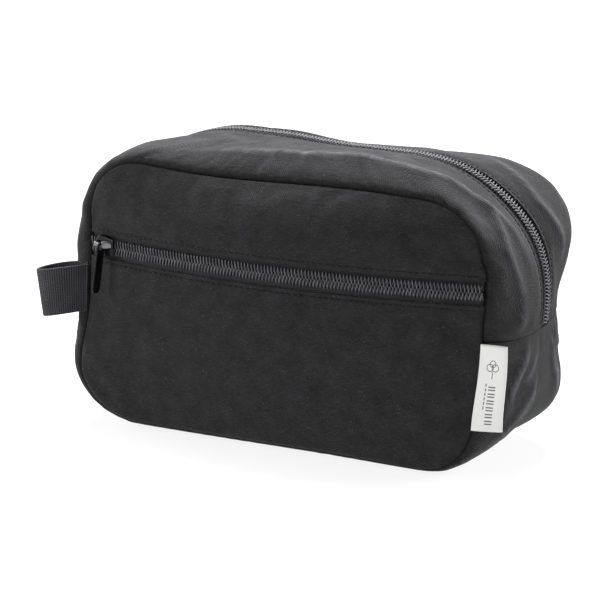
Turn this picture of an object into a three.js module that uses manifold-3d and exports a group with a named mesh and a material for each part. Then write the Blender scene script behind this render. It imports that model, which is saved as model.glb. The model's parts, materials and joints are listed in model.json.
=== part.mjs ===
// A shaving kit bag in heavy cotton canvas: two bellied panels joined by a gusset, a zip over the top
// and down both ends, a zipped pocket across the front, a webbing loop and a sewn-in side label.
// Millimetres. +X is the bag's right end, -Y its pocket side, +Z up; the origin is the centre of the base.
import * as THREE from "three";
import { mergeVertices } from "three/addons/utils/BufferGeometryUtils.js";
import Module from "manifold-3d";

const wasm = await Module();
wasm.setup();

// ---- driving dimensions -------------------------------------------------------------------------
const WIDTH = 222; // seam to seam, end to end
const HEIGHT = 144; // seam to seam, base to top
const DEPTH = 102; // front seam to back seam
const CORNER = 32; // corner radius of both panels
const BELLY = 18; // how far a filled panel stands proud of its seams
const SEAM_BOW = 0.2; // share of the belly that the top and bottom seams follow
const BELLY_LOW = 56; // the belly is at its fullest between these two heights
const BELLY_HIGH = 112;
const END_SWELL = 15; // how far the gusset swells past the seams, at the ends
const TOP_SWELL = 14; // and over the top
const TOP_CORNER_SWELL = 48; // how much rounder the top corners are at mid depth
const BASE_CORNER_SWELL = 14; // and the bottom corners
const CROSS_SEAM = 73; // height of the seams between zip gusset and bottom gusset

const CANVAS = 1.4; // cloth and its turned edge
const LINING = 0.6;
const TAPE = 0.6;
const GAP = 0.3; // between layers that touch on the real bag
const TAPE_TOP = -(CANVAS + GAP); // depths below the outer face of the canvas
const TAPE_BOTTOM = TAPE_TOP - TAPE;
const LINING_TOP = TAPE_BOTTOM - GAP;
const LINING_BOTTOM = LINING_TOP - LINING;

const ZIP_SLOT = 6.6; // from a zip's centre line to the folded canvas edge
const COIL_INNER = 0.5; // each coil runs from here to COIL_OUTER off the zip's centre line
const COIL_OUTER = 4.1;
const COIL_TOP = 0.6;
const TAPE_HALF = 13.5;
const POCKET_ZIP = 98; // height of the pocket zip
const POCKET_SLOT_UP = 5.6;

const POCKET_WALL_SET_BACK = 4.6; // of the pocket's inner wall, behind the front seam
const POCKET_WALL_BELLY = 0.1; // its share of the panel's belly
const POCKET_WALL = 0.8;
const LINING_INSET = 3.2;
const BACK_LINING_DEPTH = 4; // the back lining hangs a little off the canvas
const LINING_EDGE = 9.5; // where the gusset lining stops, off the zip's centre line and off the seams
const BINDING = { near: 3, far: 9, setBack: 6.8, thick: 1.8 };
const CROSS_BINDING = { low: 64, high: 71, halfDepth: 38, top: -3.6, bottom: -4.8 };

const SLIDER = { length: 12.5, width: 10.8, plateLow: 1, plateHigh: 2.2, backHigh: -3.1, backLow: -4.1, fin: 0.5 };
const CROWN = { half: 4.6, innerHalf: 3.2, innerHigh: 4.5, high: 5.7, width: 1.8, foot: 2 };
const PULLER = { length: 27, width: 5.4, thick: 1.2, eye: 1.45, slotLength: 3.4, slotWidth: 2.8 };
const POCKET_SLIDER_X = -102.5;
const POCKET_PULLER_SHIFT = -1.4; // along the crown, towards the end of the zip
const POCKET_PULLER_LEAN = THREE.MathUtils.degToRad(8);
const MAIN_SLIDER_Z = 80.6;
const MAIN_PULLER_SHIFT = -1.9;
const MAIN_PULLER_HEIGHT = 3.35;

const LOOP = { reach: 28, half: 8.1, innerStart: 4.5, innerReach: 22, innerHalf: 6.6, tail: 0.8, low: 61, width: 25 };
const LOOP_TURN = THREE.MathUtils.degToRad(8);
const LABEL = { width: 15, thick: 0.8, low: 26, high: 71 };
const EDGE_GAP = 0.4; // between a seam edge and what is sewn into it

// ---- materials ----------------------------------------------------------------------------------
const finish = (color, roughness, metalness = 0) =>
  new THREE.MeshStandardMaterial({ color, roughness, metalness });
const canvasFinish = () => finish(0x2b2b2c, 0.95);
const liningFinish = () => finish(0x1c1c1e, 0.8);
const tapeFinish = () => finish(0x303032, 0.85);
const coilFinish = () => finish(0x3a3a3c, 0.4);
const webbingFinish = () => finish(0x3b3b3d, 0.8);
const enamelFinish = () => finish(0x1a1a1b, 0.3, 0.6);
const labelFinish = () => finish(0xf0f0ee, 0.7);

// ---- the bag's surfaces -------------------------------------------------------------------------
const ARC_RADIUS = ((WIDTH / 2) ** 2 + BELLY ** 2) / (2 * BELLY);
const lerp = THREE.MathUtils.lerp;

// How far a panel's arc in plan stands proud of the seams at x.
const planArc = (x) => Math.sqrt(ARC_RADIUS ** 2 - x ** 2) - (ARC_RADIUS - BELLY);

// The share of that arc at height z: all of it at mid height, little at the top and bottom seams.
function bellyShare(z) {
  const below = Math.max(0, BELLY_LOW - z) / BELLY_LOW;
  const above = Math.max(0, z - BELLY_HIGH) / (HEIGHT - BELLY_HIGH);
  return SEAM_BOW + (1 - SEAM_BOW) * (1 - Math.max(below, above) ** 2);
}

// The canvas's outer face on the front; the back is its mirror image.
const frontFace = (x, z) => -DEPTH / 2 - planArc(x) * bellyShare(z);

function pocketWallFace(x, z) {
  const share = lerp(SEAM_BOW, bellyShare(z), POCKET_WALL_BELLY);
  return -DEPTH / 2 + POCKET_WALL_SET_BACK - planArc(x) * share;
}

// One point of the bag's outline seen from the front. The stretch numbers run from the middle of the
// base to the right, over the top and back; swell is 0 at the seams and 1 at mid depth.
function outlinePoint([stretch, share], swell, inset = 0) {
  const half = WIDTH / 2 + END_SWELL * swell - inset;
  const top = HEIGHT + TOP_SWELL * swell - inset;
  const topCorner = CORNER + TOP_CORNER_SWELL * swell - inset;
  const baseCorner = CORNER + BASE_CORNER_SWELL * swell - inset;
  if (stretch > 5 || (stretch === 5 && share > 0.5)) {
    const mirrored = outlinePoint([10 - stretch, 1 - share], swell, inset);
    return { x: -mirrored.x, z: mirrored.z };
  }
  const turn = (share * Math.PI) / 2;
  if (stretch === 0) return { x: (half - baseCorner) * share, z: inset };
  if (stretch === 1) {
    return {
      x: half - baseCorner + baseCorner * Math.sin(turn),
      z: inset + baseCorner - baseCorner * Math.cos(turn),
    };
  }
  if (stretch === 2) return { x: half, z: lerp(inset + baseCorner, CROSS_SEAM, share) };
  if (stretch === 3) return { x: half, z: lerp(CROSS_SEAM, top - topCorner, share) };
  if (stretch === 4) {
    return {
      x: half - topCorner + topCorner * Math.cos(turn),
      z: top - topCorner + topCorner * Math.sin(turn),
    };
  }
  return { x: (half - topCorner) * (1 - 2 * share), z: top };
}

// Stations along a run of stretches, given as [stretch, steps] pairs.
function stations(runs) {
  const list = [[runs[0][0], 0]];
  for (const [stretch, steps] of runs) {
    for (let step = 1; step <= steps; step += 1) list.push([stretch, step / steps]);
  }
  return list;
}
const zipRun = (corner, top) => stations([[3, 1], [4, corner], [5, top], [6, corner], [7, 1]]);
const baseRun = (corner) => stations([[8, 1], [9, corner], [10, 2], [0, 2], [1, corner], [2, 1]]);
const ringRun = (corner, top) => [
  ...stations([[0, 1], [1, corner], [2, 1], [3, 1], [4, corner], [5, top]]),
  ...stations([[6, corner], [7, 1], [8, 1], [9, corner], [10, 1]]).slice(1, -1),
];

const seamDepth = (station) => {
  const { x, z } = outlinePoint(station, 0);
  return frontFace(x, z);
};

// A point of the gusset at depth y. It leaves each seam steeply and is nearly flat across the middle.
function gussetPoint(station, y) {
  const seam = seamDepth(station);
  const across = (y - seam) / (-2 * seam);
  const swell = 1 - Math.abs(1 - 2 * across) ** 4;
  const { x, z } = outlinePoint(station, swell);
  return new THREE.Vector3(x, y, z);
}

// ---- solid builders -----------------------------------------------------------------------------
// A closed solid between two grids of points, outer[i][j] and inner[i][j]. A ring joins its last row
// to its first.
function slab(outer, inner, ring = false) {
  const rows = outer.length;
  const columns = outer[0].length;
  const positions = [];
  for (const grid of [outer, inner]) {
    for (const row of grid) for (const point of row) positions.push(point.x, point.y, point.z);
  }
  const index = [];
  const at = (layer, i, j) => layer * rows * columns + (i % rows) * columns + j;
  const quad = (a, b, c, d) => index.push(a, b, c, a, c, d);
  const lastRow = ring ? rows : rows - 1;
  for (let i = 0; i < lastRow; i += 1) {
    for (let j = 0; j < columns - 1; j += 1) {
      quad(at(0, i, j), at(0, i + 1, j), at(0, i + 1, j + 1), at(0, i, j + 1));
      quad(at(1, i, j), at(1, i, j + 1), at(1, i + 1, j + 1), at(1, i + 1, j));
    }
    quad(at(0, i + 1, 0), at(0, i, 0), at(1, i, 0), at(1, i + 1, 0));
    const end = columns - 1;
    quad(at(0, i, end), at(0, i + 1, end), at(1, i + 1, end), at(1, i, end));
  }
  for (let j = 0; !ring && j < columns - 1; j += 1) {
    quad(at(0, 0, j), at(0, 0, j + 1), at(1, 0, j + 1), at(1, 0, j));
    const end = rows - 1;
    quad(at(0, end, j + 1), at(0, end, j), at(1, end, j), at(1, end, j + 1));
  }
  const geometry = new THREE.BufferGeometry();
  geometry.setAttribute("position", new THREE.Float32BufferAttribute(positions, 3));
  geometry.setIndex(signedVolume(positions, index) < 0 ? index.reverse() : index);
  return geometry;
}

function signedVolume(positions, index) {
  const corner = (n) => new THREE.Vector3().fromArray(positions, 3 * index[n]);
  let volume = 0;
  for (let n = 0; n < index.length; n += 3) volume += corner(n).dot(corner(n + 1).cross(corner(n + 2))) / 6;
  return volume;
}

// Thickens a grid of gusset points between two depths below the canvas's outer face.
function thicken(grid, top, bottom) {
  const centre = new THREE.Vector3(0, 0, HEIGHT / 2);
  const clampedPoint = (i, j) => {
    const row = grid[THREE.MathUtils.clamp(i, 0, grid.length - 1)];
    return row[THREE.MathUtils.clamp(j, 0, row.length - 1)];
  };
  const layer = (offset) =>
    grid.map((row, i) =>
      row.map((point, j) => {
        const along = clampedPoint(i + 1, j).clone().sub(clampedPoint(i - 1, j));
        const across = clampedPoint(i, j + 1).clone().sub(clampedPoint(i, j - 1));
        const normal = along.cross(across).normalize();
        if (normal.dot(point.clone().sub(centre)) < 0) normal.negate();
        return point.clone().addScaledVector(normal, offset);
      }),
    );
  return slab(layer(top), layer(bottom));
}

// A strip of gusset between two depths in y, which may vary along the seam.
function gussetStrip(run, shares, yFrom, yTo, top, bottom) {
  const grid = run.map((station) =>
    shares.map((share) => gussetPoint(station, lerp(yFrom(station), yTo(station), share))),
  );
  return thicken(grid, top, bottom);
}

const SEAM_TO_ZIP = [0, 0.07, 0.18, 0.36, 0.65, 1];
const SEAM_TO_SEAM = [0, 0.04, 0.1, 0.2, 0.35, 0.5, 0.65, 0.8, 0.9, 0.96, 1];
const EVEN_THIRDS = [0, 1 / 3, 2 / 3, 1];
const ONE_SPAN = [0, 1];

// Columns of a panel: x with the lowest and highest z there, for an outline inset all round.
function panelColumns(inset, corner = 6, middle = 9) {
  const half = WIDTH / 2 - inset;
  const radius = CORNER - inset;
  const columns = [];
  const addColumn = (side, turn) => {
    const rise = radius * (1 - Math.cos(turn));
    const x = side * (half - radius + radius * Math.sin(turn));
    columns.push({ x, low: inset + rise, high: HEIGHT - inset - rise });
  };
  for (let n = corner; n > 0; n -= 1) addColumn(-1, (n / corner) * (Math.PI / 2));
  for (let n = 0; n <= middle; n += 1) {
    columns.push({ x: lerp(radius - half, half - radius, n / middle), low: inset, high: HEIGHT - inset });
  }
  for (let n = 1; n <= corner; n += 1) addColumn(1, (n / corner) * (Math.PI / 2));
  return columns;
}

// A panel between two heights; face gives y, and thickness is measured along y.
function panel({ columns, rows, low = 0, high = HEIGHT, face, offset = 0, thickness }) {
  const grid = (shift) =>
    columns.map((column) => {
      const points = [];
      for (let n = 0; n <= rows; n += 1) {
        const z = lerp(Math.max(column.low, low), Math.min(column.high, high), n / rows);
        points.push(new THREE.Vector3(column.x, face(column.x, z) + shift, z));
      }
      return points;
    });
  return slab(grid(offset), grid(offset + thickness));
}

// The folded tape that binds the raw edges inside a panel seam. side is -1 at the front, 1 at the back.
function bindingRing(side) {
  const layer = (setBack) =>
    ringRun(6, 4).map((station) =>
      [BINDING.near, BINDING.far].map((inset) => {
        const { x, z } = outlinePoint(station, 0, inset);
        return new THREE.Vector3(x, -side * (seamDepth(station) + setBack), z);
      }),
    );
  return slab(layer(BINDING.setBack), layer(BINDING.setBack + BINDING.thick), true);
}

// Joins closed three.js geometries into one solid.
function joined(geometries) {
  const solids = geometries.map((geometry) => {
    const bare = geometry.index ? geometry.toNonIndexed() : geometry.clone();
    bare.deleteAttribute("normal");
    bare.deleteAttribute("uv");
    const merged = mergeVertices(bare, 1e-4);
    return new wasm.Manifold(
      new wasm.Mesh({
        numProp: 3,
        vertProperties: new Float32Array(merged.attributes.position.array),
        triVerts: new Uint32Array(merged.index.array),
      }),
    );
  });
  const whole = solids.reduce((sum, solid) => sum.add(solid)).getMesh();
  const geometry = new THREE.BufferGeometry();
  geometry.setAttribute("position", new THREE.Float32BufferAttribute(Array.from(whole.vertProperties), 3));
  geometry.setIndex(Array.from(whole.triVerts));
  return geometry;
}

function rectangle(x0, y0, x1, y1) {
  return new THREE.Shape([
    new THREE.Vector2(x0, y0),
    new THREE.Vector2(x1, y0),
    new THREE.Vector2(x1, y1),
    new THREE.Vector2(x0, y1),
  ]);
}
const extrude = (shape, depth, curveSegments = 6) =>
  new THREE.ExtrudeGeometry(shape, { depth, bevelEnabled: false, curveSegments });

// ---- sliders and pullers ------------------------------------------------------------------------
// A slider in its own frame: x along the zip, y across it, z out of the canvas, z = 0 at the canvas.
function sliderGeometry() {
  const half = SLIDER.width / 2;
  const fin = SLIDER.fin / 2;
  const section = new THREE.Shape([
    new THREE.Vector2(-half, SLIDER.plateHigh),
    new THREE.Vector2(-half, SLIDER.plateLow),
    new THREE.Vector2(-fin, SLIDER.plateLow),
    new THREE.Vector2(-fin, SLIDER.backHigh),
    new THREE.Vector2(-half, SLIDER.backHigh),
    new THREE.Vector2(-half, SLIDER.backLow),
    new THREE.Vector2(half, SLIDER.backLow),
    new THREE.Vector2(half, SLIDER.backHigh),
    new THREE.Vector2(fin, SLIDER.backHigh),
    new THREE.Vector2(fin, SLIDER.plateLow),
    new THREE.Vector2(half, SLIDER.plateLow),
    new THREE.Vector2(half, SLIDER.plateHigh),
  ]);
  // The section is drawn in y and z, and extruded along x.
  const sectionToSlider = new THREE.Matrix4().makeBasis(
    new THREE.Vector3(0, 1, 0),
    new THREE.Vector3(0, 0, 1),
    new THREE.Vector3(1, 0, 0),
  );
  const body = extrude(section, SLIDER.length).translate(0, 0, -SLIDER.length / 2).applyMatrix4(sectionToSlider);

  const arch = new THREE.Shape([
    new THREE.Vector2(-CROWN.half, CROWN.foot),
    new THREE.Vector2(-CROWN.innerHalf, CROWN.foot),
    new THREE.Vector2(-CROWN.innerHalf, CROWN.innerHigh),
    new THREE.Vector2(CROWN.innerHalf, CROWN.innerHigh),
    new THREE.Vector2(CROWN.innerHalf, CROWN.foot),
    new THREE.Vector2(CROWN.half, CROWN.foot),
    new THREE.Vector2(CROWN.half, CROWN.innerHigh),
    new THREE.Vector2(CROWN.innerHalf, CROWN.high),
    new THREE.Vector2(-CROWN.innerHalf, CROWN.high),
    new THREE.Vector2(-CROWN.half, CROWN.innerHigh),
  ]);
  const crown = extrude(arch, CROWN.width).translate(0, 0, -CROWN.width / 2).rotateX(Math.PI / 2);
  return joined([body, crown]);
}

// The outline of a pull tab whose turning centre is the origin. It hangs towards -y.
function tabShape(topReach, hole) {
  const half = PULLER.width / 2;
  const straightTop = topReach - half;
  const bottom = topReach - PULLER.length + half;
  const shape = new THREE.Shape();
  shape.moveTo(-half, bottom);
  shape.absarc(0, bottom, half, Math.PI, 2 * Math.PI, false);
  shape.lineTo(half, straightTop);
  shape.absarc(0, straightTop, half, 0, Math.PI, false);
  shape.holes.push(hole);
  return shape;
}

// This tab turns edge-on: the crown's bar runs through its round eye. Its thickness lies along x, its
// width along z and its length along y, in the slider's frame.
function edgeOnPuller() {
  const hole = new THREE.Path().absarc(0, 0, PULLER.eye, 0, 2 * Math.PI, true);
  const tab = extrude(tabShape(PULLER.width / 2, hole), PULLER.thick).translate(0, 0, -PULLER.thick / 2);
  return tab.rotateY(Math.PI / 2);
}

// This tab lies flat along the zip, with the bar at its head under the crown.
function flatPuller() {
  const headBar = PULLER.thick / 2;
  const slotHalf = PULLER.slotWidth / 2;
  const hole = new THREE.Path([
    new THREE.Vector2(-slotHalf, -headBar),
    new THREE.Vector2(slotHalf, -headBar),
    new THREE.Vector2(slotHalf, -headBar - PULLER.slotLength),
    new THREE.Vector2(-slotHalf, -headBar - PULLER.slotLength),
  ]);
  const half = PULLER.width / 2;
  const bottom = headBar - PULLER.length + half;
  const shape = new THREE.Shape();
  shape.moveTo(-half, bottom);
  shape.absarc(0, bottom, half, Math.PI, 2 * Math.PI, false);
  shape.lineTo(half, headBar);
  shape.lineTo(-half, headBar);
  shape.holes.push(hole);
  const tab = extrude(shape, PULLER.thick).translate(0, 0, -PULLER.thick / 2);
  return tab.rotateZ(-Math.PI / 2);
}

// ---- the carrying loop --------------------------------------------------------------------------
// Half a turn of a teardrop that starts at its tip; reach is its length and half its greatest half width.
function teardrop(start, reach, half, skip) {
  const points = [];
  const steps = 22;
  for (let n = 0; n <= steps; n += 1) {
    const turn = lerp(skip, 2 * Math.PI - skip, n / steps);
    const out = start + (reach * (1 - Math.cos(turn))) / 2;
    points.push(new THREE.Vector2(-out, half * Math.sin(turn) * Math.sin(turn / 2) ** 1.2));
  }
  return points;
}

function loopGeometry() {
  const outline = teardrop(0, LOOP.reach, LOOP.half, 0.6);
  const shape = new THREE.Shape([
    new THREE.Vector2(0, LOOP.tail),
    ...outline,
    new THREE.Vector2(0, -LOOP.tail),
  ]);
  shape.holes.push(new THREE.Path(teardrop(LOOP.innerStart, LOOP.innerReach, LOOP.innerHalf, 0.4)));
  return extrude(shape, LOOP.width);
}

// ---- assembly -----------------------------------------------------------------------------------
const bag = new THREE.Group();

function add(name, geometry, material, parent = bag) {
  const mesh = new THREE.Mesh(geometry, material);
  mesh.name = name;
  parent.add(mesh);
  return mesh;
}

function addPanels() {
  const columns = panelColumns(0);
  add(
    "front_upper_panel",
    panel({ columns, rows: 3, low: POCKET_ZIP + POCKET_SLOT_UP, face: frontFace, thickness: CANVAS }),
    canvasFinish(),
  );
  add(
    "front_lower_panel",
    panel({ columns, rows: 6, high: POCKET_ZIP - ZIP_SLOT, face: frontFace, thickness: CANVAS }),
    canvasFinish(),
  );
  const backFace = (x, z) => -frontFace(x, z);
  add("back_panel", panel({ columns, rows: 8, face: backFace, thickness: -CANVAS }), canvasFinish());
  const insetColumns = panelColumns(LINING_INSET, 4, 7);
  const backLining = { face: backFace, offset: -BACK_LINING_DEPTH, thickness: -LINING };
  add("back_lining", panel({ columns: insetColumns, rows: 6, ...backLining }), liningFinish());
  add(
    "pocket_inner_wall",
    panel({ columns: insetColumns, rows: 6, face: pocketWallFace, thickness: POCKET_WALL }),
    liningFinish(),
  );
}

function addGussets() {
  const fromSeam = (station) => seamDepth(station) + CANVAS + GAP;
  const fromLiningEdge = (station) => seamDepth(station) + LINING_EDGE;
  const run = zipRun(12, 4);
  const liningRun = zipRun(6, 3);
  for (const [side, name] of [[1, "front"], [-1, "rear"]]) {
    const from = (start) => (station) => side * start(station);
    const to = (distance) => () => -side * distance;
    add(
      `zip_gusset_${name}`,
      gussetStrip(run, SEAM_TO_ZIP, from(fromSeam), to(ZIP_SLOT), 0, -CANVAS),
      canvasFinish(),
    );
    add(
      `zip_gusset_lining_${name}`,
      gussetStrip(liningRun, EVEN_THIRDS, from(fromLiningEdge), to(LINING_EDGE), LINING_TOP, LINING_BOTTOM),
      liningFinish(),
    );
  }
  const shortened = (run, share) => {
    const ends = [...run];
    ends[0] = [run[0][0], share];
    ends[ends.length - 1] = [run.at(-1)[0], 1 - share];
    return ends;
  };
  const belowCrossSeam = 0.02;
  add(
    "bottom_gusset",
    gussetStrip(
      shortened(baseRun(7), belowCrossSeam),
      SEAM_TO_SEAM,
      fromSeam,
      (station) => -fromSeam(station),
      0,
      -CANVAS,
    ),
    canvasFinish(),
  );
  add(
    "bottom_lining",
    gussetStrip(
      shortened(baseRun(4), belowCrossSeam),
      [0, 0.1, 0.3, 0.5, 0.7, 0.9, 1],
      fromLiningEdge,
      (station) => -fromLiningEdge(station),
      LINING_TOP,
      LINING_BOTTOM,
    ),
    liningFinish(),
  );
}

function addBindings() {
  add("seam_binding_front", bindingRing(-1), tapeFinish());
  add("seam_binding_back", bindingRing(1), tapeFinish());
  for (const [side, name] of [[1, "right"], [-1, "left"]]) {
    const grid = [CROSS_BINDING.low, CROSS_BINDING.high].map((z) =>
      [-1, -0.5, 0, 0.5, 1].map((share) => {
        const straightShare = (z - CORNER) / (CROSS_SEAM - CORNER);
        const point = gussetPoint([2, straightShare], share * CROSS_BINDING.halfDepth);
        return new THREE.Vector3(side * point.x, point.y, z);
      }),
    );
    add(`cross_seam_binding_${name}`, thicken(grid, CROSS_BINDING.top, CROSS_BINDING.bottom), tapeFinish());
  }
}

function addMainZip() {
  const run = zipRun(12, 4);
  for (const [side, name] of [[-1, "front"], [1, "rear"]]) {
    const at = (distance) => () => side * distance;
    add(
      `main_zip_tape_${name}`,
      gussetStrip(run, ONE_SPAN, at(COIL_INNER), at(TAPE_HALF), TAPE_TOP, TAPE_BOTTOM),
      tapeFinish(),
    );
    add(
      `main_zip_coil_${name}`,
      gussetStrip(run, ONE_SPAN, at(COIL_INNER), at(COIL_OUTER), COIL_TOP, -CANVAS),
      coilFinish(),
    );
  }
  // The slider stands on the left end, its length upright and its crown facing out.
  const slider = new THREE.Group();
  slider.position.set(-(WIDTH / 2 + END_SWELL), 0, MAIN_SLIDER_Z);
  slider.setRotationFromMatrix(
    new THREE.Matrix4().makeBasis(
      new THREE.Vector3(0, 0, 1),
      new THREE.Vector3(0, 1, 0),
      new THREE.Vector3(-1, 0, 0),
    ),
  );
  add("main_zip_slider", sliderGeometry(), enamelFinish(), slider);
  const puller = add("main_zip_puller", flatPuller(), enamelFinish(), slider);
  puller.position.set(MAIN_PULLER_SHIFT, 0, MAIN_PULLER_HEIGHT);
  bag.add(slider);
}

function addPocketZip() {
  const columns = panelColumns(0).map(({ x }) => ({ x: x * 0.985, low: 0, high: HEIGHT }));
  const band = (from, to, top, bottom) =>
    panel({
      columns,
      rows: 1,
      low: POCKET_ZIP + from,
      high: POCKET_ZIP + to,
      face: frontFace,
      offset: -top,
      thickness: top - bottom,
    });
  add("pocket_zip_tape_upper", band(COIL_INNER, TAPE_HALF, TAPE_TOP, TAPE_BOTTOM), tapeFinish());
  add("pocket_zip_tape_lower", band(-TAPE_HALF, -COIL_INNER, TAPE_TOP, TAPE_BOTTOM), tapeFinish());
  add("pocket_zip_coil_upper", band(COIL_INNER, COIL_OUTER, COIL_TOP, -CANVAS), coilFinish());
  add("pocket_zip_coil_lower", band(-COIL_OUTER, -COIL_INNER, COIL_TOP, -CANVAS), coilFinish());

  // The slider sits at the left end of the curved zip, its crown facing out of the front.
  const turn = Math.asin(POCKET_SLIDER_X / ARC_RADIUS);
  const slider = new THREE.Group();
  slider.position.set(POCKET_SLIDER_X, frontFace(POCKET_SLIDER_X, POCKET_ZIP), POCKET_ZIP);
  slider.setRotationFromMatrix(
    new THREE.Matrix4().makeBasis(
      new THREE.Vector3(Math.cos(turn), Math.sin(turn), 0),
      new THREE.Vector3(0, 0, 1),
      new THREE.Vector3(Math.sin(turn), -Math.cos(turn), 0),
    ),
  );
  add("pocket_zip_slider", sliderGeometry(), enamelFinish(), slider);
  const puller = add("pocket_zip_puller", edgeOnPuller(), enamelFinish(), slider);
  puller.position.set(POCKET_PULLER_SHIFT, 0, (CROWN.innerHigh + CROWN.high) / 2);
  puller.rotation.x = -POCKET_PULLER_LEAN;
  bag.add(slider);
}

function addTrims() {
  const loop = add("carry_loop", loopGeometry(), webbingFinish());
  loop.position.set(-(WIDTH / 2 + EDGE_GAP), -DEPTH / 2 + CANVAS / 2 - EDGE_GAP, LOOP.low);
  loop.rotation.z = LOOP_TURN;
  const label = new THREE.BoxGeometry(LABEL.width, LABEL.thick, LABEL.high - LABEL.low);
  label.translate(
    WIDTH / 2 + EDGE_GAP + LABEL.width / 2,
    -DEPTH / 2 + LABEL.thick / 2,
    (LABEL.low + LABEL.high) / 2,
  );
  add("side_label", label, labelFinish());
}

addPanels();
addGussets();
addBindings();
addMainZip();
addPocketZip();
addTrims();

export default bag;
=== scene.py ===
"""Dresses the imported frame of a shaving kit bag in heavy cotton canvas, with its zips, loop and label.

Lengths in this file are metres, apart from values whose names end in _mm.
"""
import json
import logging
import math
from collections.abc import Callable, Sequence
from dataclasses import dataclass, field
from enum import Enum
from functools import partial

import bmesh
import bpy
import numpy as np
from mathutils import Matrix, Vector


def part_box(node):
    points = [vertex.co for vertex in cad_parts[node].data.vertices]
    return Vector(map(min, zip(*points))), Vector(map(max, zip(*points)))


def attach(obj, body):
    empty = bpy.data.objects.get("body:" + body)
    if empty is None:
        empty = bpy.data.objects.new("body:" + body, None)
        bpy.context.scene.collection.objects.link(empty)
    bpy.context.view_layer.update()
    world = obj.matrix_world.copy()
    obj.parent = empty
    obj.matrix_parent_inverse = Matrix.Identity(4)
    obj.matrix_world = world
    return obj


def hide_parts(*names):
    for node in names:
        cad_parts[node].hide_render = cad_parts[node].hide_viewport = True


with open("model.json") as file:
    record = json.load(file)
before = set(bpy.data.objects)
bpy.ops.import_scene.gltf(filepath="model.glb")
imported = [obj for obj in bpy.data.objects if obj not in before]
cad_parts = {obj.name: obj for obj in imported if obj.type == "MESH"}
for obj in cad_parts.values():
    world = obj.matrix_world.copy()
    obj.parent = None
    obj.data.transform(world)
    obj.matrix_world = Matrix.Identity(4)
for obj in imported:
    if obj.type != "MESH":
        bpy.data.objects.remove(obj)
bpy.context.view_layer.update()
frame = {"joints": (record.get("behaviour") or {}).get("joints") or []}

MM = 0.001
log = logging.getLogger("shaving_kit_bag")


# ---- colour and material nodes --------------------------------------------------------------------
def linear(hex_colour: str) -> tuple[float, float, float, float]:
    """Turns an sRGB hex colour into a linear RGBA colour.

    Args:
        hex_colour: six hex digits, with or without a leading hash.

    Returns:
        Linear red, green, blue and an alpha of one.
    """
    digits = hex_colour.lstrip("#")
    channels = [int(digits[start : start + 2], 16) / 255 for start in (0, 2, 4)]
    straight = [c / 12.92 if c <= 0.04045 else ((c + 0.055) / 1.055) ** 2.4 for c in channels]
    return (*straight, 1.0)


def add_node(
    tree: bpy.types.NodeTree, kind: str, settings: dict | None = None, links: dict | None = None
) -> bpy.types.Node:
    """Adds one node with its settings and incoming links.

    Args:
        tree: the node tree to add to.
        kind: the node's type name.
        settings: attribute names, or input names and numbers, with their values.
        links: input names or numbers with the output sockets that feed them.

    Returns:
        The new node.
    """
    node = tree.nodes.new(kind)
    for key, value in (settings or {}).items():
        if isinstance(key, int) or key in node.inputs:
            node.inputs[key].default_value = value
        else:
            setattr(node, key, value)
    for key, socket in (links or {}).items():
        tree.links.new(socket, node.inputs[key])
    return node


def set_inputs(node: bpy.types.Node, values: dict) -> None:
    """Sets a node's unlinked inputs by name."""
    for key, value in values.items():
        node.inputs[key].default_value = value


def new_material(name: str) -> tuple[bpy.types.Material, bpy.types.NodeTree, bpy.types.Node]:
    """Makes a material and returns it with its node tree and its shader."""
    material = bpy.data.materials.new(name)
    material.use_nodes = True
    return material, material.node_tree, material.node_tree.nodes["Principled BSDF"]


class Direction(Enum):
    """Which way a straight pattern runs on a piece's cloth coordinates."""

    ALONG = 0
    ACROSS = 1


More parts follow.
